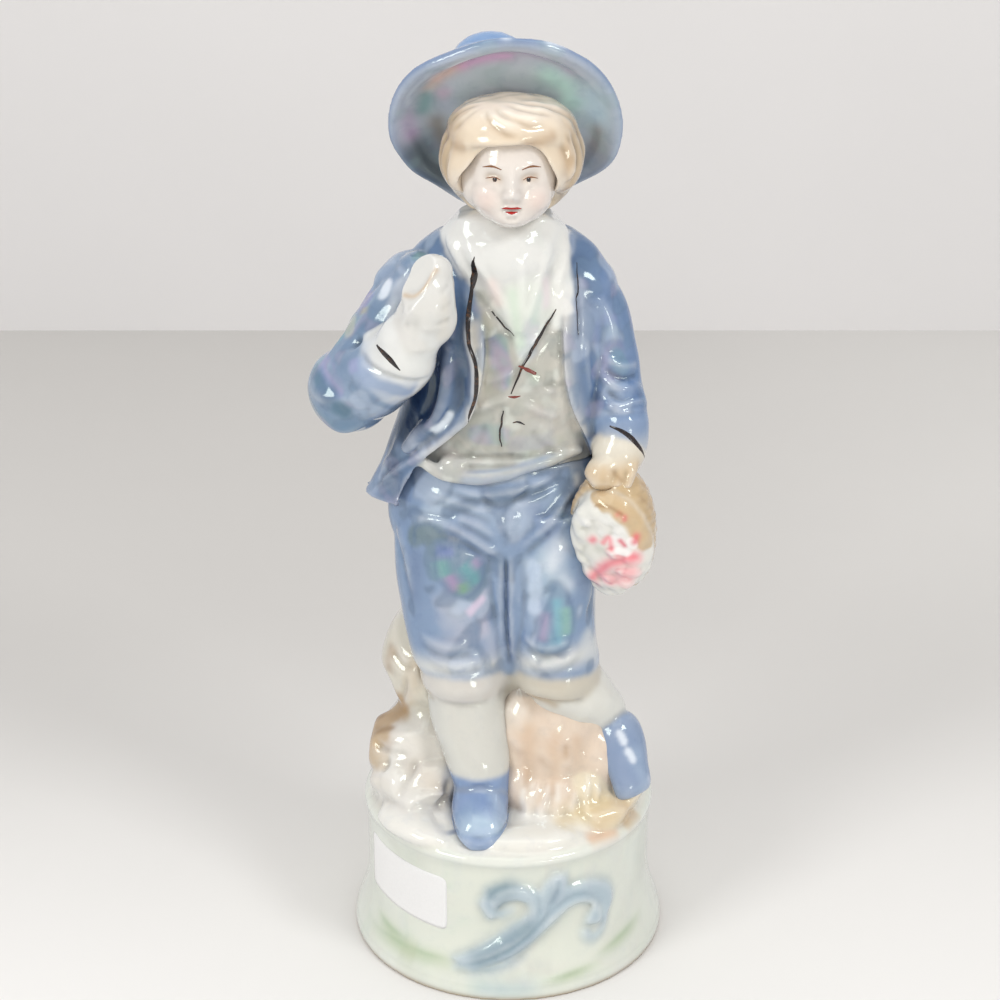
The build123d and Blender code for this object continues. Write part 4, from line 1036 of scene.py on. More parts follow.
for spots, width, strength in (
    (((-17, -14, 170), (-20, -13, 162), (-30, -8, 150)), 2.2, 0.25),
    (((24, -10, 190), (27, -9, 180)), 4.0, 0.4), (((30, -12, 166), (33, -12, 160)), 3.0, 0.25),
    (((-24, 2, 204), (-32, -2, 196)), 4.5, 0.4), (((-46, -12, 172), (-38, -18, 170)), 5.0, 0.45),
    (((0, 18, 190), (0, 18, 160)), 9.0, 0.25), (((-40, -4, 140), (-36, -6, 143)), 3.0, 0.7),
):
    body.spray((176, 190, 212), spots, width, strength, coat)
# painted shade: dark navy under the raised right arm, in the coat's creases, and beside the left
# lapel
for spots, width, strength in (
    (((-19, -13, 186), (-22, -13, 172), (-26, -12, 163), (-33, -8, 158)), 5.5, 0.95),
    (((-17, -12, 192), (-20, -12.5, 178)), 3.0, 0.6), (((-14, -14, 176), (-13, -15, 168)), 2.2, 0.6),
    (((20, -11, 205), (19.5, -11, 198)), 3.5, 0.5), (((23, -10, 168), (22.5, -10, 156)), 1.6, 0.8),
    (((-30, -14, 176), (-27, -12, 184)), 2.5, 0.7), (((-34, -6, 146), (-28, -9, 142)), 3.0, 0.45),
    (((25, -12, 174), (31, -12, 172)), 1.4, 0.6),
):
    body.spray((38, 58, 96), spots, width, strength, coat)
body.spray((224, 217, 204), [(x + 1.4, y, z) for x, y, z in right_edge[1:-1]], 2.2, 0.9, (), 0.1)
body.spray(
    (224, 218, 206), [(x - 0.8, y, z) for x, y, z in left_edge[1:]], 2.6, 0.85,
    ("jacket", "waistcoat"), 0.1)
body.spray(
    (206, 202, 192), ((-6.6, -12.5, 198), (-6.0, -13.5, 190)), 2.4, 0.8,
    ("jacket", "waistcoat", "shirt_front"))
body.spray(
    (172, 181, 190),
    ((-22, -10, 149), (-13, -14, 146), (-6.5, -15, 146), (0.3, -15, 147.2), (5.6, -14, 149),
     (12.4, -12, 151)), 1.7, 0.6, ("waistcoat",), 0.1)
body.spray((196, 198, 200), ((28, -14, 157), (35, -13, 155)), 3.0, 0.6, ("left_sleeve", "left_cuff"))
body.spray(
    (98, 132, 158), ((-51, -4, 172), (-49, -12, 166), (-42, -16, 162)), 4.0, 0.7, ("right_sleeve",))
body.dapple((106, 130, 160), 5.2, 0.5, coat, 2.2, 0.22)
body.dapple((176, 188, 208), 6.4, 0.5, coat, 5.3, 0.32)
body.dapple((160, 156, 182), 4.6, 0.4, coat, 8.1, 0.45)
body.spray((196, 204, 214), ((-27, -8, 197), (-31, -12, 190)), 3.0, 0.6, ("right_sleeve",), 0, 0.5)
body.spray((158, 168, 186), ((19, -10, 196), (19.5, -12, 184)), 3.2, 0.6, ("jacket",))
vest = ("waistcoat",)
body.dapple((168, 170, 162), 4.4, 0.6, vest, 1.1, 0.2)
body.dapple((210, 214, 206), 3.8, 0.6, vest, 3.7, 0.3)
# The last two waistcoat marks are painted shade along the top and bottom of the hem roll.
body.marks(vest,
    ((166, 168, 164), ((-11, -14, 158), (-4, -14.5, 159)), 3.4, 0.7, 0, 0.3),
    ((176, 174, 184), ((2, -14.5, 155.5), (11, -13, 156)), 2.4, 0.7, 0, 0.3),
    ((144, 158, 138), ((5.8, -15.5, 176), (6.6, -15.2, 173.8)), 1.3, 0.6),
    ((150, 150, 132), ((-7, -14, 190), (-6.4, -15, 182), (-6, -15.5, 172)), 2.4, 0.7),
    ((168, 166, 156), ((-8, -15, 156), (2, -14.5, 154)), 3.2, 0.45),
    ((208, 203, 196), ((8, -14, 160), (15, -12, 158)), 5.0, 0.6),
    ((206, 202, 192), ((6, -15, 168), (12, -13, 166)), 4.0, 0.4),
    ((202, 202, 196), ((-22, -10, 150), (-8, -13.5, 147), (8, -12, 149)), 2.6, 0.6),
    ((138, 154, 182), ((-14, -13, 147.4), (-4, -14.6, 148), (6, -14, 150.4), (14, -11, 152)), 0.7,
     0.7, 0.2),
    ((128, 144, 170), ((-17, -12, 144.6), (-6, -14.6, 143.9), (6, -13.6, 146.6), (14, -10.6, 149)),
     0.8, 0.7, 0.2))
for spots, width, strength, scale in (
    (((-3, -15.5, 184), (-2, -15.6, 174)), 2.6, 0.45, 4),
    (((-8, -14, 158), (-2, -14, 158)), 3.0, 0.3, 4),
    (((6, -14, 188), (5, -15, 182)), 2.6, 0.22, 4),
    (((-36, -6, 190), (-40, -8, 184)), 5.0, 0.5, 5),
    (((-48, -10, 176), (-44, -16, 172)), 4.0, 0.4, 5),
    (((26, -9, 186), (28, -9, 176)), 4.0, 0.25, 6),
    (((-8, 18, 178), (8, 17, 170)), 8.0, 0.3, 8),
):
    body.lustre(spots, width, strength, scale)
body.pool()
# painted shade: dark navy on the jacket under the raised right arm; the last, pale mark is a painted
# highlight
body.marks(
    ("jacket",),
    ((34, 54, 90),
     ((-17.5, -13, 190), (-19, -13, 182), (-21, -13, 172), (-24, -12, 164), (-29, -10, 158)), 3.6,
     0.85, 0.2),
    ((34, 54, 90), ((-13.5, -14.5, 180), (-13, -15, 170), (-15, -15, 164)), 1.4, 0.6, 0.2),
    ((34, 54, 90), ((-34, -6, 148), (-31, -8, 144)), 2.4, 0.5, 0.2),
    ((32, 50, 84), ((-23, -9, 176), (-25, -8.5, 168), (-27, -7.5, 160), (-31, -6, 153)), 4.2, 0.9,
     0.15),
    ((228, 236, 244), ((-15.8, -15, 164), (-17.4, -14.8, 161.6), (-19.6, -14.2, 159.4)), 1.25, 0.9, 0,
     0.4))
for shade, spots in (
    ((206, 226, 204), ((0.6, -15, 197), (2, -15.5, 190), (3, -15.6, 184))),
    ((238, 214, 208), ((-4.6, -14, 200), (-2.6, -14.6, 195))),
    ((210, 224, 214), ((7.6, -14, 196), (6.6, -14.6, 190))),
    ((232, 214, 222), ((9.8, -13, 200), (9.4, -13, 194))),
):
    body.spray(shade, spots, 1.5, 0.55, ("shirt_front", "collar", "waistcoat"))
body.spray(
    (230, 229, 224), ((13.4, -7, 210), (13.6, -9, 204), (13.8, -10.5, 198), (14.2, -11, 193)), 3.0,
    0.95, (), 0.0, 0.4)
body.spray(
    (150, 166, 194), ((-39, -19, 180), (-35.5, -25, 176.8), (-29.6, -27, 174.6), (-23, -24, 172.6)),
    4.0, 0.95, ("right_cuff", "right_sleeve"), 0.1, 0.8)
# a painted highlight on the right sleeve
body.spray(
    (232, 238, 246), ((-31.5, -8.6, 198), (-31.8, -9.4, 194.5)), 1.6, 0.8, ("right_sleeve",), 0, 0.4)
# Of these marks, the two dark navy ones first are painted shade, on the jacket under the arm and
# under the right sleeve's opening, and the grey-blue one along the waistcoat's hem is painted shade
# under its roll.
for shade, spots, width, strength, piece in (
    ((44, 66, 98), ((-31, -6, 160), (-33, -4, 154), (-31, -5, 148)), 4.0, 0.7, "jacket"),
    ((44, 66, 98), ((-27, -25, 171.6), (-21, -24, 174)), 1.8, 0.6, "right_sleeve"),
    ((92, 108, 134), ((-36, -3, 142), (-31, -8, 140), (-27, -9, 138)), 3.0, 0.7, "jacket"),
    ((160, 157, 147), ((-3.4, -15, 177), (-4.4, -15.3, 171.3), (-1.5, -15.5, 166)), 2.4, 0.6,
     "waistcoat"),
    ((208, 203, 193), ((14, -12, 159), (16, -11, 154), (18, -9, 152)), 4.2, 0.7, "waistcoat"),
    ((222, 214, 202), ((-8.6, -14, 181), (-9.0, -15, 172), (-9.6, -14.7, 163)), 1.8, 0.6,
     "waistcoat"),
    ((222, 214, 202), ((15.4, -14.3, 177), (17.0, -13.8, 167.7), (19.0, -9, 156)), 1.7, 0.7,
     "waistcoat"),
    ((150, 164, 186), ((-14, -13.5, 145.4), (-7, -16, 145.2), (2, -16, 146), (12, -14, 148)), 1.5,
     0.6, "waistcoat"),
    ((170, 160, 122), ((-36.4, -9, 191), (-35.0, -9.6, 188)), 2.6, 0.6, "right_sleeve"),
    ((126, 162, 154), ((-24.6, -5, 204.4), (-22.6, -5.6, 202.4)), 2.6, 0.6, "right_sleeve"),
    ((150, 148, 190), ((-41, -21.0, 182), (-39.4, -22, 178)), 2.0, 0.5, "right_sleeve"),
    ((92, 122, 140), ((-46, -19, 169), (-42, -20.4, 166)), 2.8, 0.6, "right_sleeve"),
    ((96, 126, 172), ((31, -10, 172), (32, -11, 166)), 4.0, 0.55, "left_sleeve"),
):
    body.spray(shade, spots, width, strength, (piece,), 0.1, 0.7)
body.spray(
    (76, 108, 132), ((-50.5, -12, 175), (-47.5, -18, 171), (-43, -20, 167)), 3.2, 0.75,
    ("right_sleeve",), 0, 0.8)
body.spray(
    (50, 78, 112), ((-12.8, -14.6, 196), (-12.9, -15, 186), (-12.4, -15.4, 178), (-12.8, -15.4, 170)),
    1.6, 0.6, ("jacket",), 0.2)
body.spray((190, 186, 166), ((-41, -9, 187), (-39, -10, 184)), 2.4, 0.55, ("right_sleeve",), 0, 0.4)
body.soften(2)
vest_glaze = glaze("waistcoat_grey_glaze", pearl=0.5, mottle=0.2)
shirt_glaze = glaze("shirt_white_glaze", pearl=0.14)
body.part_off("waistcoat", vest_glaze, wall=1.0)
body.part_off("shirt_front", shirt_glaze, wall=1.0)
body.part_off("collar", shirt_glaze, wall=1.0)
for cloth in coat:
    body.part_off(cloth, suit_glaze, wall=1.0)
for side in ("right", "left"):
    body.part_off(side + "_cuff", shirt_glaze, wall=0.8)
    body.part_off(side + "_hand", shirt_glaze, wall=0.8)

# ------------------------------------------------------------
# Head. A generic child's face of plain proportions, pressed in its own mould: the eyes at
# half height, the nose and mouth at thirds below the brow. Thin flesh glaze, blushed cheeks.
head = Casting(0.32)
head.press("head")
middle_x = 0.5


def face_line(*spots, hand=1):
    """A line on the face, by how far each point is from its middle towards one hand."""
    return [(middle_x + x * hand, y, z) for x, y, z in spots]


head.pellet("head", (middle_x, -11.8, 222.5), (10.6, 9.2, 7.8))
head.pellet("head", (middle_x, -15.2, 219.2), (6.4, 5.4, 4.4))
for hand in (-1, 1):
    head.pellet("head", (middle_x + 4.6 * hand, -14.6, 223.2), (5.8, 5.6, 5.4))
    head.pellet("head", (middle_x + 7.9 * hand, -9.6, 228.5), (4.4, 6.8, 7.6))
head.pellet("head", (-6.6, -10.4, 226.5), (6.4, 6.4, 8.4))
head.pellet("head", (7.4, -10.4, 226.5), (5.0, 6.0, 8.0))
head.fuse(4)
head.co = head.spread(head.co, 26, 0.6)
head.settle(1)
head.push((middle_x, -20, 217.6), (3.2, 3, 2.4), (0, -1.0, -0.2))
head.push((middle_x, -21.5, 226.5), (1.5, 3, 4.2), (0, -1.1, 0))
head.push((middle_x, -21.5, 224.2), (1.5, 3, 1.3), (0, -1.5, 0.1))
for hand in (-1, 1):
    head.push((middle_x + 1.5 * hand, -21.0, 223.9), (0.8, 2, 0.8), (0, -0.6, 0))
    head.push((middle_x + 4.7 * hand, -20.0, 228.2), (2.7, 3, 1.9), (0, 1.2, 0))
    head.push((middle_x + 4.7 * hand, -19.4, 227.7), (1.7, 2.5, 1.1), (0, -0.8, 0))
    head.push((middle_x + 4.8 * hand, -20.2, 231.6), (3.2, 2.5, 1.0), (0, -0.4, 0))
head.settle(1)
for hand in (-1, 1):
    lid = face_line((2.8, -20.2, 228.0), (4.7, -20.2, 228.8), (6.8, -18.8, 228.0), hand=hand)
    head.fold(lid, 0.4, 0.28, 0.3)
    head.fold([(x, y, z - 2.3) for x, y, z in lid], 0.5, 0.14, 0.3)
head.fold(face_line((-2.8, -20, 220.9), (-0.9, -21, 221.4), (0.9, -21, 221.4), (2.8, -20, 220.9)),
          0.55, 0.5, 0.3)
head.fold(face_line((-2.2, -20, 219.9), (0, -21, 219.4), (2.2, -20, 219.9)), 0.65, 0.6, 0.35)
head.fold(face_line((-3.0, -20, 220.6), (0, -21, 220.4), (3.0, -20, 220.6)), 0.35, -0.35, 0.2)
head.fold(face_line((-1.6, -20, 218.4), (0, -21, 218.2), (1.6, -20, 218.4)), 0.8, -0.35, 0.3)
head.settle(2)
head.colour(head=(231, 222, 214))
for hand in (-1, 1):
    head.spray((232, 196, 184), ((middle_x + 6.0 * hand, -18, 222.8),), 3.0, 0.4)
    head.spray((196, 160, 120), face_line((3.2, -20, 228.4), (5.8, -19.4, 228.8), hand=hand), 1.1,
               0.45)
head.pool(0.3, 0.15)
head.soften(3)
head.part_off("head", glaze("face_glaze", pearl=0.04, speck=0.0))

# ------------------------------------------------------------
# Hair. Wavy locks rolled and tooled onto a cap of clay: a fringe swept across the forehead
# and thick side locks. Straw-coloured glaze, browner in the hollows and along the partings.
hair = Casting(0.38)
hair.press("hair")


def scalp_line(spots, reach=16.4, turned=0, raised=0):
    """A line on the cap of hair, by degrees from the front and above the ears."""
    line = []
    for turn, height in spots:
        around, up = math.radians(turn + turned), math.radians(height + raised)
        line.append((0.5 + reach * math.cos(up) * math.sin(around),
                     -5.6 - reach * math.cos(up) * math.cos(around), 230.6 + reach * math.sin(up)))
    return line


locks = (
    (((-66, 22), (-46, 22), (-20, 21), (4, 23), (26, 28), (44, 34)), (1.6, 2.3, 2.5, 2.4, 2.1, 1.4)),
    (((-70, 36), (-42, 35), (-12, 34), (16, 37), (42, 43), (60, 42)), (1.8, 2.3, 2.3, 2.3, 2.0, 1.6)),
    (((42, 32), (54, 20), (59, 6), (58, -8), (53, -22)), (1.4, 2.2, 2.6, 2.1, 0.8)),
    (((56, 36), (70, 18), (73, 0), (68, -16), (60, -31)), (1.5, 2.4, 2.7, 2.1, 0.8)),
    (((66, 40), (84, 20), (86, 0), (78, -18), (70, -30)), (1.5, 2.4, 2.7, 2.1, 0.8)),
    (((-60, 26), (-70, 12), (-74, -4), (-68, -18), (-60, -28)), (1.4, 2.2, 2.3, 1.8, 0.8)),
    (((-68, 38), (-82, 18), (-85, -2), (-78, -18), (-70, -32)), (1.5, 2.4, 2.6, 1.9, 0.8)))
for spots, radii in locks:
    hair.coil("hair", scalp_line(spots), radii)
hair.pellet("hair", (0.6, -6.4, 238.4), (17.0, 16.2, 9.4))
hair.fuse(4)
hair.push((0.5, -8, 249), (13, 10, 4), (0, 0, -1.2))
hair.push((0.5, -21, 233.4), (11, 5, 2.8), (0, 2.2, 2.6))
hair.push((-12, -17.5, 227), (4, 5, 8), (-3.0, 1.6, 0))
hair.push((12.4, -17.5, 227), (2.8, 5, 8), (0.6, 0.6, 0))
for hand in (-1, 1):
    hair.push((0.5 + 9.5 * hand, -15, 218.5), (5.5, 7, 4.6), (-3.0 * hand, 7, 2))
hair.push((0.5, -16, 216), (9, 8, 4), (0, 9, 2))
hair.knead(np.ones(len(hair.co)), 12)
sweeps = (
    ((-30, 58), (-8, 44), (16, 35), (40, 34)), ((-20, 62), (10, 52), (34, 43), (54, 38)),
    ((-34, 54), (-24, 40), (-6, 30), (12, 26)), ((-38, 56), (-46, 42), (-54, 32), (-62, 24)),
    ((0, 64), (34, 56), (58, 44), (70, 30)), ((-46, 58), (-62, 44), (-72, 30)),
    ((48, 40), (60, 26), (65, 10), (64, -6), (58, -22)),
    ((60, 44), (76, 26), (80, 6), (74, -10), (66, -26)), ((50, 30), (58, 16), (56, 4), (52, -4)),
    ((62, -4), (58, -14), (52, -20)), ((-62, 34), (-74, 18), (-78, 0), (-72, -14), (-64, -26)),
    ((-74, 38), (-88, 18), (-92, -2), (-84, -18)))
for line in sweeps:
    hair.fold(scalp_line(line, 18.6), 0.8, -0.3, 0.35)
    hair.fold(scalp_line(line, 18.6, 2, 5), 1.3, 0.22, 0.35)
hair.ripple(3.4, 0.2)
hair.settle(2)
hair.colour(hair=(230, 212, 188))
for line in sweeps:
    hair.spray((184, 148, 108), scalp_line(line, 18.6), 1.2, 0.5, (), 0.35)
    hair.spray((244, 236, 222), scalp_line(line, 18.6, 2, 6), 1.3, 0.45, (), 0.35)
# painted highlight: a pale wash over the top of the hair
hair.spray((240, 229, 214), scalp_line(((-30, 52), (20, 50), (50, 46)), 18), 5.0, 0.6)
for spots in (((-64, 17), (-40, 16)), ((6, 19), (24, 22), (44, 28)), ((47, 20), (52, 2), (50, -14))):
    hair.spray((178, 140, 98), scalp_line(spots, 18.2), 1.7, 0.55, (), 0.2)
for hand in (-1, 1):
    hair.spray((180, 152, 114), scalp_line(((70 * hand, 30), (74 * hand, -2), (68 * hand, -24)), 18),
               4.4, 0.8)
    hair.spray((150, 138, 118), scalp_line(((88 * hand, 40), (92 * hand, 0), (88 * hand, -30)), 17.6),
               4.0, 0.6)
hair.spray((174, 146, 108), ((-16.4, -7, 236), (-15.8, -8.6, 230)), 3.2, 0.55)
for hand in (-1, 1):
    hair.spray((236, 224, 210), ((hand * 13.4, -16.6, 227), (hand * 12.6, -16.8, 221)), 2.4, 0.55)
hair.pool(0.5, 0.2)
hair.soften(3)
hair.part_off("hair", glaze("hair_glaze", pearl=0.08))

# ------------------------------------------------------------
# Hat. A wide brim thrown back round the head, with a round crown behind. The brim is turned
# over a former and its edge is rolled thick; lustre is laid in bands on the underside.
hat = Casting(0.6)
hat.press("hat_brim", "hat_crown")
brim_middle = np.array((-1, 6, 237.6))
brim_lean = math.radians(59)
brim_axis = np.array((0, math.sin(brim_lean), math.cos(brim_lean)))
brim_side, brim_up = np.array((1, 0, 0)), np.array((0, -brim_axis[2], brim_axis[1]))


def brim_arc(start, end, reach, count):
    """Points near the underside of the brim, by degrees clockwise from its top."""
    arc = []
    for turn in np.linspace(start, end, count):
        around = math.radians(turn)
        outward = math.sin(around) * brim_side + math.cos(around) * brim_up
        arc.append(brim_middle + reach * outward - 2.0 * brim_axis)
    return arc


hat.pellet("hat_crown", (-5, 15.5, 247.0), (12.2, 9.5, 12.7))
hat.fuse(5)
hat.push((4, -9, 262), (26, 12, 7), (0, 0.6, -1.1))
hat.push((-16, -5, 260), (10, 10, 7), (0, 1.0, -2.2))
hat.push((-22, 12, 214), (14, 12, 8), (1.4, 0, 2.6))
hat.push((20, 12, 214), (14, 12, 8), (-1.6, 0, 3.0))
hat.push((-26, 8, 226), (9, 9, 9), (0.8, 1.2, 0))
hat.ripple(9.0, 0.4)
crown_middle, crown_radius = np.array((-2, 11.5, 240.5)), 15.2
crown_foot = [crown_middle + crown_radius * (math.sin(turn) * brim_side + math.cos(turn) * brim_up)
              for turn in np.linspace(0, 2 * math.pi, 15)]
hat.fold(crown_foot, 1.2, -0.7, 0)
for start, end, reach, lift in ((-80, 80, 26.5, 0.5), (-70, 60, 22, -0.35), (80, 170, 25, 0.4),
                                (-170, -90, 25, 0.4)):
    hat.fold(brim_arc(start, end, reach, 8), 1.6, lift, 0.2)
hat.settle(2)
hat.colour(hat_brim=(134, 152, 180), hat_crown=(122, 152, 194))
under = np.clip(-3 * (hat.out @ brim_axis) + 0.1, 0, 1) * hat.of("hat_brim")
# The underside is washed a pale grey-blue: partly its own paler glaze, and partly painted light, made
# lighter to offset the shade under the brim.
hat.wash((186, 194, 206), 0.95 * under)
hat.pool(0.25, 0.15)
# The second and third of these marks are painted shade, low on the underside of the brim beside the
# hair.
hat.marks(("hat_brim",),
    ((196, 214, 216), ((22, -1.4, 247), (24, 0.6, 240)), 4.6, 0.55),
    ((158, 150, 150), ((23, 9.6, 228), (22, 11, 224)), 4.0, 0.55),
    ((52, 60, 66), ((-22.4, 11.6, 227), (-20, 12.6, 222)), 4.2, 0.55),
    ((98, 122, 162), brim_arc(-150, 150, 30.6, 18), 2.0, 0.85, 0.05))
# In this table, the dark rows near the hair (at reach 14.6 and 17.6, the dark slate at the left and
# the brown-grey at the right) are painted shade under the brim; the rest are lustre bands.
for start, end, reach, shade, width in (
    (-64, -26, 22, (226, 190, 176), 1.6), (-36, 8, 21.6, (208, 160, 202), 1.6),
    (6, 48, 23.4, (198, 186, 214), 1.7), (-62, 62, 17.2, (190, 201, 211), 2.0),
    (30, 76, 18.6, (188, 226, 216), 2.8), (60, 104, 23.6, (186, 210, 224), 2.8),
    (-104, -78, 24.4, (198, 170, 206), 2.0), (-84, -62, 21.4, (110, 150, 152), 1.9),
    (-66, -52, 18.6, (218, 182, 208), 1.3), (-120, -84, 17.6, (134, 126, 114), 2.1),
    (-142, -106, 24, (84, 96, 106), 4.2), (90, 122, 24, (160, 152, 150), 2.1),
    (112, 142, 25, (142, 154, 174), 3.2), (-60, 60, 14.6, (176, 190, 198), 1.8),
):
    hat.spray(shade, brim_arc(start + 6, end - 6, reach, 6), 1.35 * width, 0.85, ("hat_brim",))
hat.dapple((150, 176, 178), 5.0, 0.25, ("hat_brim",), 1.9, 0.3)
# painted highlights along the rolled rim of the brim
for start, end, reach in ((-40, -16, 25.6), (17, 33, 29.2), (-3, 3, 28.6), (62, 74, 29)):
    hat.spray((238, 244, 250), brim_arc(start, end, reach, 4), 0.8, 0.85, ("hat_brim",), 0.3)
hat.spray((82, 108, 156), crown_foot, 1.3, 0.7)
hat.soften(3)
hat.part_off("hat_brim", suit_glaze, wall=1.0)
hat.part_off("hat_crown", suit_glaze, wall=1.0)

# ------------------------------------------------------------
# Basket of flowers in the left hand. The weave is pressed into the basket; the roses and the
# white blossoms are built petal by petal, washed pink in the hollows.
flowers = Casting(0.36)
flowers.press("basket", "leaves")
bunch = np.array((25.8, -18.4, 127.3))
bunch_x, bunch_out = np.array((0.902, -0.431, 0)), np.array((-0.42, -0.85, -0.32))
bunch_y = np.cross(bunch_out, bunch_x)


def on_bunch(*spots, out=0.0):
    """A line on the bouquet, by how far across it, along it and out of it."""
    return [bunch + across * bunch_x + along * bunch_y + out * bunch_out for across, along in spots]


def bloom(name, spot, size, petals, spin):
    """A flower of overlapping petals round a bud, facing out of the basket."""
    centre = bunch + spot[0] * bunch_x + spot[1] * bunch_y
    flowers.pellet(name, centre + 0.1 * size * bunch_out, (0.5 * size, 0.5 * size, 0.4 * size))
    head_of_petals = bmesh.new()
    for count, reach, rise, wide in ((petals, 0.66, 0.22, 0.46), (3, 0.3, 0.42, 0.3),
                                     (1, 0.02, 0.56, 0.15)):
        for petal in range(count):
            turn = spin + 2 * math.pi * petal / count + rise
            way = math.cos(turn) * bunch_x + math.sin(turn) * bunch_y
            facing = Vector(bunch_out + 0.6 * way).to_track_quat("Z", "Y").to_matrix()
            at = centre + size * (reach * way + rise * bunch_out)
            spread = Matrix.Diagonal((wide * size, wide * size, 0.17 * size, 1))
            place = Matrix.Translation(Vector(at) * MM) @ facing.to_4x4() @ spread
            bmesh.ops.create_icosphere(head_of_petals, subdivisions=3, radius=MM, matrix=place)
    flowers.lute(name, head_of_petals)


for spot, size, spin in (
    ((3.4, 0.8), 4.6, 0.2), ((7.4, -1.6), 3.2, 0.9), ((4.8, -5.8), 3.6, 0.4),
    ((-0.8, -4.2), 3.4, 1.3), ((-2.8, 1.4), 2.9, 0.7), ((0.6, -9.4), 3.4, 0.2),
    ((7.0, -6.4), 3.0, 0.6), ((5.0, -10.8), 2.8, 1.0),
):
    bloom("roses", spot, size, 5, spin)
for spot, size, spin in (
    ((0.8, 6.8), 3.6, 0.2), ((-5.4, 4.8), 3.6, 0.8), ((5.0, 8.0), 3.2, 0.5), ((-3.6, 9.4), 3.4, 1.1),
    ((2.4, 11.4), 3.2, 0.5),
):
    bloom("blossoms", spot, size, 5, spin)
for spot, size, spin in (
    ((-6.6, -0.4), 3.2, 0.3), ((-5.8, -4.8), 3.4, 0.9), ((-4.4, -9.4), 3.6, 0.6),
    ((-1.0, -12.2), 2.8, 0.2), ((-6.4, 7.8), 2.8, 0.6), ((-1.8, 12.4), 2.8, 0.1),
    ((2.4, 13.0), 2.8, 0.7), ((5.2, 11.4), 2.8, 0.4), ((7.4, 4.2), 2.8, 0.9),
    ((2.8, -12.4), 2.6, 0.4), ((-4.6, 11.2), 2.6, 0.2),
):
    bloom("leaves", spot, size, 5, spin)
flowers.pellet("leaves", bunch - 1.6 * bunch_out + 0.6 * bunch_x + 0.6 * bunch_y, (11.4, 4.0, 16.2),
               (18.7, 0, -25.5))
flowers.pellet("leaves", bunch - 3.4 * bunch_out + 1.2 * bunch_x + 0.8 * bunch_y, (11.8, 5.0, 16.8),
               (18.7, 0, -25.5))
flowers.fuse(7)
flowers.knead(flowers.of("leaves", "blossoms"), 9)
flowers.knead(flowers.of("roses"), 6)
offset = flowers.co - bunch
border = np.hypot(offset @ bunch_x / 10.4, offset @ bunch_y / 15.4)
rim = np.clip((border - 0.7) / 0.15, 0, 1) * np.clip(2 + 0.3 * (offset @ bunch_out), 0, 1)
flowers.knead(rim, 26)
flowers.ripple(2.6, 0.3, flowers.of("leaves", "blossoms"))
x, y, z = (flowers.co - (27.5, -15, 128.6)).T
straw_height, stakes = 2.2, 14
row = np.floor(z / straw_height)
crossing = np.sin(stakes * np.arctan2(y, x) + np.pi * row)
weave = np.abs(np.sin(np.pi * z / straw_height)) * (0.55 + 0.45 * crossing)
flowers.co += (0.2 * (weave - 0.4) * flowers.of("basket"))[:, None] * flowers.out
flowers.settle(1)
flowers.share = flowers.spread(flowers.share, 12)
flowers.colour(basket=(197, 170, 131), leaves=(231, 229, 221), roses=(248, 202, 200),
               blossoms=(238, 236, 231))
flowers.marks(("basket",),
    ((168, 128, 82), ((36, -10, 146), (38, -8, 136), (38.5, -12, 128)), 3.0, 0.5),
    ((222, 204, 172), ((24, -12, 147), (30, -14, 145)), 4.0, 0.5))
# brown brush strokes on the straw; the pale stroke beside each is a painted highlight
for spots in (
    ((34, -18, 146), (38, -14, 140)), ((32, -20, 143), (37, -17, 136)),
    ((36, -17, 134), (37, -15, 126)), ((37, -10, 146), (39, -8, 138)),
):
    flowers.spray((146, 104, 60), spots, 0.7, 0.7, ("basket",), 0.3)
    flowers.spray(
        (246, 238, 222), [(x - 1.6, y - 0.6, z) for x, y, z in spots], 0.8, 0.6, ("basket",), 0.3)
hollow = flowers.hollows(2, 2)
dabs = np.clip(0.55 + 1.6 * waves(flowers.co / 2.6), 0, 1)
flowers.wash((220, 84, 104), flowers.of("roses") * dabs * np.clip(hollow * 9 + 0.2, 0, 0.7))
flowers.wash((246, 240, 236), flowers.of("roses") * np.clip(-hollow * 8, 0, 0.8))
# painted shade: grey in the hollows between the white blossoms and leaves
flowers.wash((206, 204, 192), flowers.of("leaves", "blossoms") * np.clip(hollow * 8, 0, 0.7))
straw_rim = on_bunch((0, 18.2), (6, 17.2), (10, 14), (12.8, 8.6), (13.4, 3.4), out=-1.2)
flowers.spray((205, 178, 140), straw_rim, 3.2, 0.95, ("leaves", "blossoms"), 0, 0.3)
blush, blossom_shade_grey = (242, 118, 132), (208, 207, 192)
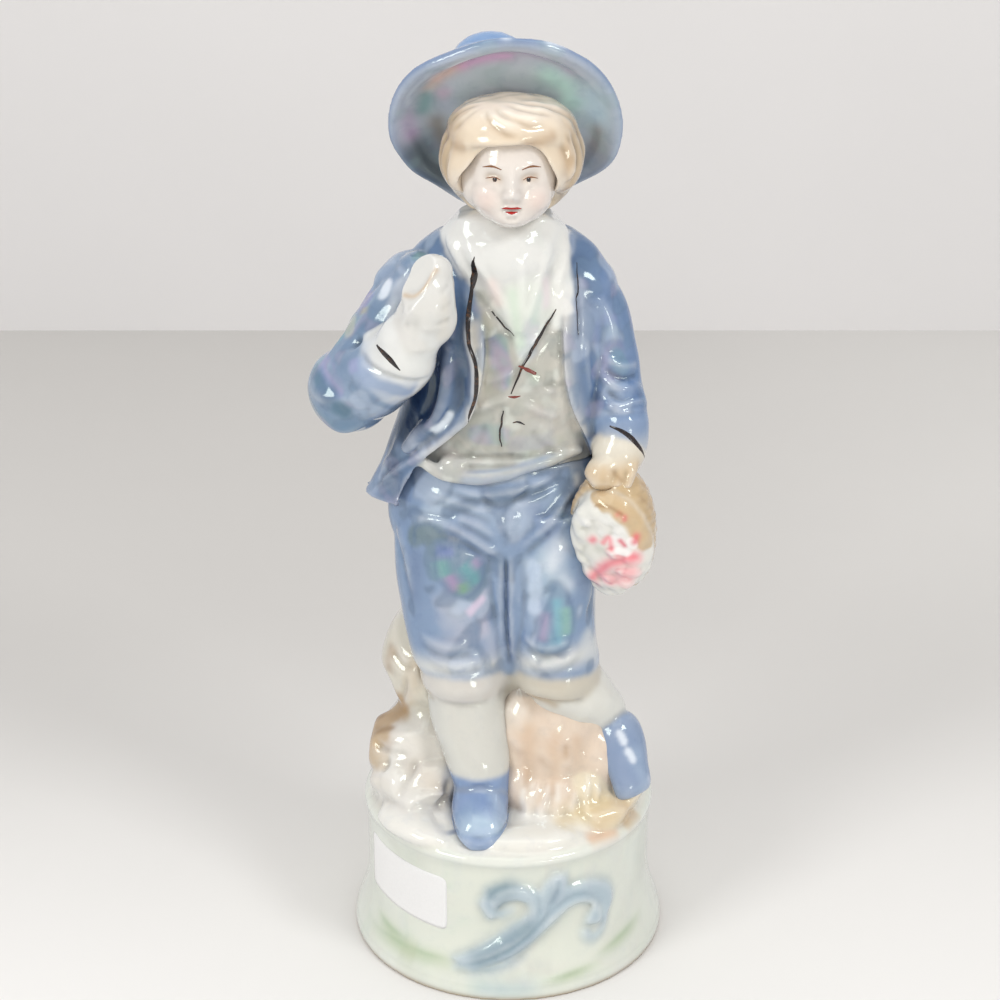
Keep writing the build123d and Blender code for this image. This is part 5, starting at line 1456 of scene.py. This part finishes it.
# The two grey rows are painted shade on the white blossoms; the other rows are the flowers' paint,
# straw and stems.
for shade, marks, wide, strength, edge in (
    (blossom_shade_grey, ((-6.3, 6.5), (-5.7, -1.3)), 2.4, 0.4, 0),
    (blossom_shade_grey, ((-1.2, 0.6), (0.4, 1.4)), 1.4, 0.5, 0),
    ((205, 178, 140), ((2.4, 18.6), (6.8, 17.6), (9.8, 15.6), (12.2, 12.6), (13.6, 8.4)), 2.6, 0.9,
     0.4),
    (blush, ((-3.7, -10.1), (-0.7, -6.5), (2.3, -3.4), (5.7, -1.8), (9.6, -0.1)), 1.9, 0.8, 0),
    ((244, 166, 172), ((0.9, -10.2), (3.7, -8.3), (7.6, -5.8)), 2.2, 0.65, 0),
    ((244, 160, 166), ((-5.2, -13.6), (-4, -14)), 1.5, 0.6, 0),
    ((250, 248, 245), ((5.4, 4.6), (6.8, 2.6)), 2.7, 0.9, 0.4),
    ((226, 92, 110), ((6.0, 5.0), (7.0, 3.6)), 0.9, 0.8, 0),
    ((250, 248, 245), ((9.2, 4.6), (9.3, 3.6)), 1.7, 0.95, 0.4),
    ((226, 90, 104), ((11.0, 5.2), (11.8, 7.0)), 1.2, 0.8, 0),
    (blush, ((-2.5, 3.6), (-1.6, 4.4)), 1.2, 0.75, 0),
    (blush, ((1.0, 4.0), (2.8, 6.0), (3.2, 2.6)), 0.9, 0.7, 0),
    ((222, 108, 108), ((9.0, 12.6), (9.6, 13.6)), 0.9, 0.7, 0),
    ((226, 130, 120), ((6.2, 14.8), (6.8, 15.6)), 0.8, 0.6, 0),
    ((150, 112, 72), ((-1, 16.6), (4, 17.4), (8.4, 16.4)), 0.6, 0.6, 0),
):
    flowers.spray(shade, on_bunch(*marks, out=2.4), wide, strength, (), 0, edge)
flowers.pool(0.25, 0.1)
straw_glaze = glaze("straw_glaze", pearl=0.1)
petal_glaze = glaze("petal_glaze", pearl=0.15)
flowers.part_off("basket", straw_glaze, wall=0.8)
flowers.part_off("leaves", petal_glaze, wall=0.6)
flowers.part_off("roses", glaze("rose_glaze", pearl=0.1), wall=0.6)
flowers.part_off("blossoms", petal_glaze, wall=0.6)

# ------------------------------------------------------------
# Overglaze enamel. Fine lines drawn with a liner brush on the fired glaze, then fired again at
# a low heat: black on the lapels and cuffs, iron red for the buttons and lips, brown for brows.
def enamel_colour(name, colour):
    """A glossy enamel, thinner and warmer where the brush ran dry."""
    recipe = Recipe(name)
    spot = recipe.node("ShaderNodeTexCoord", {}, {}, "Object")
    drag = recipe.node("ShaderNodeTexNoise", {}, {"Vector": spot, "Scale": 900.0, "Detail": 3.0})
    thick = (*linear(colour), 1)
    thin = (*(linear(colour) * 0.6 + linear((150, 96, 48)) * 0.4), 1)
    tone = recipe.mix(drag.between(0.5, 0.72) * 0.7, thick, thin)
    shader = recipe.node("ShaderNodeBsdfPrincipled", {}, {
        "Base Color": tone, "Roughness": drag * 0.15 + 0.12, "IOR": 1.5, "Coat Weight": 0.4,
        "Coat Roughness": 0.05})
    return recipe.finish(shader)


def brush(name, casting, strokes, material):
    """Draws strokes on a fired skin. Each has its points and its widths along the way."""
    skin = bvhtree.BVHTree.FromPolygons(casting.co.tolist(), casting.quads.tolist())
    drawn = bmesh.new()
    for points, widths in strokes:
        line = smooth_line(points, 0.35)
        spots, ways = [], []
        for point in line:
            place, facing, _, _ = skin.find_nearest(Vector(point))
            spots.append(np.array(place))
            ways.append(np.array(facing))
        spots, ways = np.array(spots), np.array(ways)
        for _ in range(3):
            spots[1:-1] = (spots[:-2] + 2 * spots[1:-1] + spots[2:]) / 4
            ways[1:-1] = (ways[:-2] + 2 * ways[1:-1] + ways[2:]) / 4
        half = np.interp(np.linspace(0, 1, len(spots)), np.linspace(0, 1, len(widths)), widths) / 2
        run = np.gradient(spots, axis=0)
        ring = bmesh.ops.create_circle(drawn, segments=8, radius=1.0)["verts"]
        shape = [vert.co.copy() for vert in ring]
        edges = list({edge for vert in ring for edge in vert.link_edges})
        first = ring
        for i, spot in enumerate(spots):
            if i:
                grown = bmesh.ops.extrude_edge_only(drawn, edges=edges)["geom"]
                edges = [item for item in grown if isinstance(item, bmesh.types.BMEdge)]
                fresh = {item for item in grown if isinstance(item, bmesh.types.BMVert)}
                edges = [edge for edge in edges if all(vert in fresh for vert in edge.verts)]
                ring = [next(edge.other_vert(vert) for edge in vert.link_edges
                             if edge.other_vert(vert) in fresh) for vert in ring]
            along = Vector(run[i]).normalized()
            up = Vector(ways[i]).normalized()
            across = along.cross(up).normalized()
            wide, high = max(half[i], 0.03), 0.05 + 0.05 * min(half[i], 1.0)
            for vert, corner in zip(ring, shape):
                place = Vector(spot) + across * corner.x * wide + up * (corner.y * high + 0.02)
                vert.co = place * MM
        bmesh.ops.contextual_create(drawn, geom=first)
        bmesh.ops.contextual_create(drawn, geom=ring)
    bmesh.ops.recalc_face_normals(drawn, faces=drawn.faces)
    piece = stand(name, drawn, material)
    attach(piece, "root")


black = enamel_colour("black_enamel", (26, 18, 20))
iron_red = enamel_colour("iron_red_enamel", (122, 52, 44))
brow_brown = enamel_colour("brown_enamel", (132, 84, 50))
lip_red = enamel_colour("lip_enamel", (176, 20, 16))
brush("lapel_lines", body,
      ((((-8.9, -14, 206.8), (-9.0, -14, 204.4), (-9.1, -14, 202), (-9.4, -14, 200),
         (-9.7, -14, 198.2)),
        (0.2, 1.6, 2.5, 1.7, 0.9)),
       (((-9.7, -12.9, 198.5), (-9.9, -14.5, 196.2), (-10.5, -15.4, 192.7), (-10.8, -16, 187.6),
         (-10.5, -16.5, 183.7), (-9.5, -17, 181.1), (-8.7, -17.2, 177.9), (-8.7, -17.4, 173.0),
         (-9.0, -17.4, 169.5), (-9.8, -17, 166.7), (-11.5, -15.5, 162.0)),
        (0.9, 1.1, 1.3, 1.2, 1.0, 1.0, 1.2, 1.2, 1.0, 0.8, 0.2)),
       (((-5.0, -12.4, 192.2), (-3.0, -13, 190.0), (-0.9, -13.8, 187.5), (1.0, -14.4, 185.3)),
        (0.5, 0.55, 0.45, 0.15)),
       (((12.2, -10.5, 192.3), (9.6, -12.6, 187.5), (6.5, -14.4, 182.6), (3.3, -15.5, 177.8),
         (1.8, -15.8, 173.8), (0.5, -15.9, 170.2)),
        (0.3, 0.8, 1.1, 0.8, 0.6, 0.3)),
       (((-1.6, -15.6, 165.3), (-2.2, -15.2, 161.3), (-2.4, -14.8, 157.4), (-2.2, -14.4, 154.7)),
        (0.3, 0.6, 0.5, 0.3)),
       (((1.0, -15.2, 161.9), (2.3, -15.2, 162.2), (4.2, -15, 161.2)), (0.3, 0.7, 0.2)),
       (((17.6, -7.6, 203.6), (17.9, -10.4, 196.9), (18.2, -11.9, 191.0), (18.3, -12.5, 185.4)),
        (0.2, 0.35, 0.4, 0.15))), black)
brush("button_marks", body, (
    (((2.6, -15.4, 177.7), (4.9, -15.4, 176.7), (7.0, -15.1, 175.5)), (0.4, 1.1, 0.8)),
    (((-0.3, -15.9, 169.5), (1.5, -15.8, 169.3), (3.0, -15.8, 169.6)), (0.2, 0.8, 0.2))),
    iron_red)
brush("cuff_lines", body,
      ((((-33.7, -24.0, 186.2), (-32.0, -26.7, 184.9), (-30.2, -28.3, 183.3), (-27.9, -28.7, 180.8)),
        (0.6, 1.5, 1.4, 0.3)),
       (((26.5, -15.1, 161.0), (29.3, -16.3, 160.3), (31.8, -16.5, 158.7), (34.0, -16.2, 156.1),
         (35.8, -13.8, 151.8)),
        (0.4, 1.1, 1.4, 1.1, 0.2))), black)
for name, across, widths, material in (
    ("brows", ((2.6, -21, 230.7), (4.8, -20.3, 231.5), (7.4, -18.8, 231.0)), (0.25, 0.6, 0.15),
     brow_brown),
    ("eyelids", ((2.9, -20.5, 228.1), (4.6, -20.4, 228.9), (6.7, -19, 228.2)), (0.2, 0.4, 0.15),
     brow_brown),
    ("pupils", ((4.4, -20.4, 228.6), (4.4, -20.4, 227.6)), (1.0, 1.2, 0.7), black),
):
    pair = [(face_line(*across, hand=hand), widths) for hand in (-1, 1)]
    brush(name, head, pair, material)
brush("lips", head,
      ((face_line((-2.4, -20.4, 220.9), (-1.0, -21.3, 221.2), (0, -21.4, 220.9), (1.0, -21.3, 221.2),
                  (2.4, -20.4, 220.9)),
        (0.2, 0.8, 0.8, 0.8, 0.2)),
       (face_line((-1.5, -20.9, 220.2), (0, -21.3, 219.8), (1.5, -20.9, 220.2)), (0.3, 1.0, 0.3))),
      lip_red)

# ------------------------------------------------------------
# Stock label. A blank white paper sticker with rounded corners, on gummed paper of 0.12 mm.
# It was pressed round the left front of the plinth by hand, and lies a little askew.
label_middle, label_size, label_corner = (-34.4, 27.3), (33.6, 17.0), 2.2
label_thickness, label_slope, plinth_waist = 0.12, -0.04, 41.6
plinth_skin = bvhtree.BVHTree.FromPolygons(base.co.tolist(), base.quads.tolist())
paper_label = bmesh.new()
sheet = bmesh.ops.create_grid(paper_label, x_segments=24, y_segments=18, size=0.5)["verts"]
for vert in sheet:
    wide, high = vert.co.x * label_size[0], vert.co.y * label_size[1]
    spare_x = abs(wide) - label_size[0] / 2 + label_corner
    spare_y = abs(high) - label_size[1] / 2 + label_corner
    if spare_x > 0 and spare_y > 0:
        shrink = max(spare_x, spare_y) / math.hypot(spare_x, spare_y)
        wide = math.copysign(label_size[0] / 2 - label_corner + spare_x * shrink, wide)
        high = math.copysign(label_size[1] / 2 - label_corner + spare_y * shrink, high)
    z = label_middle[1] + high + label_slope * wide
    turn = math.radians(-90) + (label_middle[0] + wide) / plinth_waist
    way = Vector((math.cos(turn), math.sin(turn), 0))
    reach = plinth_skin.ray_cast(Vector((0, 0, z)) + 60 * way, -way)[0].xy.length + 0.1
    vert.co = (reach * way + Vector((0, 0, z))) * MM
bmesh.ops.smooth_vert(paper_label, verts=paper_label.verts, factor=0.5, use_axis_x=True,
                      use_axis_y=True)
bmesh.ops.solidify(paper_label, geom=list(paper_label.faces), thickness=label_thickness * MM)
bmesh.ops.recalc_face_normals(paper_label, faces=paper_label.faces)
stock = Recipe("label_paper")
stock_spot = stock.node("ShaderNodeTexCoord", {}, {}, "Object")
stock_grain = stock.node("ShaderNodeTexNoise", {},
    {"Vector": stock_spot, "Scale": 1400.0, "Detail": 3.0})
stock_tone = stock.mix(stock_grain, (0.86, 0.855, 0.85, 1), (0.80, 0.795, 0.79, 1))
stock_bump = stock.node("ShaderNodeBump", {},
    {"Strength": 0.3, "Distance": 0.00002, "Height": stock_grain})
label = stand("blank_label", paper_label, stock.finish(stock.node("ShaderNodeBsdfPrincipled", {}, {
    "Base Color": stock_tone, "Roughness": 0.45 + stock_grain * 0.1, "Normal": stock_bump})))
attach(label, "root")

# ------------------------------------------------------------
# Studio: a pale table and a wall of matt board behind it, three soft windows and a ceiling
# lamp, and the camera above the figure, looking down at it.
def paper(name, colour, roughness, far=0.0):
    """Plain matt board, very slightly uneven in tone, with painted shade making it darker to the back
    by a share, a little less so on the right.
    """
    recipe = Recipe(name)
    spot = recipe.node("ShaderNodeTexCoord", {}, {}, "Object")
    cloud = recipe.node("ShaderNodeTexNoise", {}, {"Vector": spot, "Scale": 5.0, "Detail": 3.0})
    darker = [channel * 0.94 for channel in colour[:3]] + [1]
    tone = recipe.mix(cloud, colour, darker)
    # painted shade: the board darkens towards the back, less so on the right
    if far:
        depth = recipe.node("ShaderNodeSeparateXYZ", {}, {"Vector": spot}, "Y")
        aside = recipe.node("ShaderNodeSeparateXYZ", {}, {"Vector": spot}, "X")
        shade = depth.between(-0.1, 0.22) * (far - aside.between(0.0, 0.3) * 0.16)
        tone = recipe.mix(shade, tone, (0.3, 0.28, 0.26, 1))
    shader = recipe.node("ShaderNodeBsdfPrincipled", {}, {"Base Color": tone, "Roughness": roughness,
                                                          "Specular IOR Level": 0.15})
    return recipe.finish(shader)


def board(name, corners, material):
    """One flat board of the studio."""
    sheet = bmesh.new()
    sheet.faces.new([sheet.verts.new(corner) for corner in corners])
    stand(name, sheet, material)


wall_place = 0.603
board("floor", ((-3, -3, 0), (3, -3, 0), (3, wall_place, 0), (-3, wall_place, 0)),
      paper("floor_board", (0.85, 0.84, 0.82, 1), 0.8, 0.42))
board("wall", ((-3, wall_place, 0), (3, wall_place, 0), (3, wall_place, 2.2), (-3, wall_place, 2.2)),
      paper("wall_board", (0.80, 0.785, 0.78, 1), 0.8))


def lamp(name, place, aim, size, watts):
    """A soft box that faces a point."""
    light = bpy.data.lights.new(name, "AREA")
    light.shape = "RECTANGLE"
    light.size, light.size_y = size
    light.energy = watts
    box = bpy.data.objects.new(name, light)
    box.location = place
    box.rotation_euler = (Vector(aim) - Vector(place)).to_track_quat("-Z", "Y").to_euler()
    bpy.context.scene.collection.objects.link(box)


lamp("left_window", (-0.9, -0.8, 0.9), (0, 0, 0.12), (0.46, 0.54), 6.8)
lamp("right_window", (0.7, -0.6, 1.0), (0, 0, 0.12), (0.3, 0.34), 4.1)
lamp("low_window", (0.62, -1.25, 0.16), (0, 0, 0.06), (0.34, 0.12), 1.1)
lamp("ceiling", (0, -0.1, 1.5), (0, 0, 0.1), (1.2, 1.2), 3.9)
world = bpy.data.worlds.new("room")
world.use_nodes = True
daylight = world.node_tree.nodes["Background"].inputs
daylight["Color"].default_value = (1, 0.99, 0.98, 1)
daylight["Strength"].default_value = 0.62
bpy.context.scene.world = world
bpy.context.scene.view_settings.view_transform = "Standard"

eye = bpy.data.cameras.new("camera")
eye.lens = 68.4
eye.sensor_width = 36
camera = bpy.data.objects.new("camera", eye)
camera.location = (-0.00243, -0.48983, 0.33136)
look_down = 21.967
camera.rotation_euler = (math.radians(90 - look_down), 0, 0)
bpy.context.scene.collection.objects.link(camera)
bpy.context.scene.camera = camera
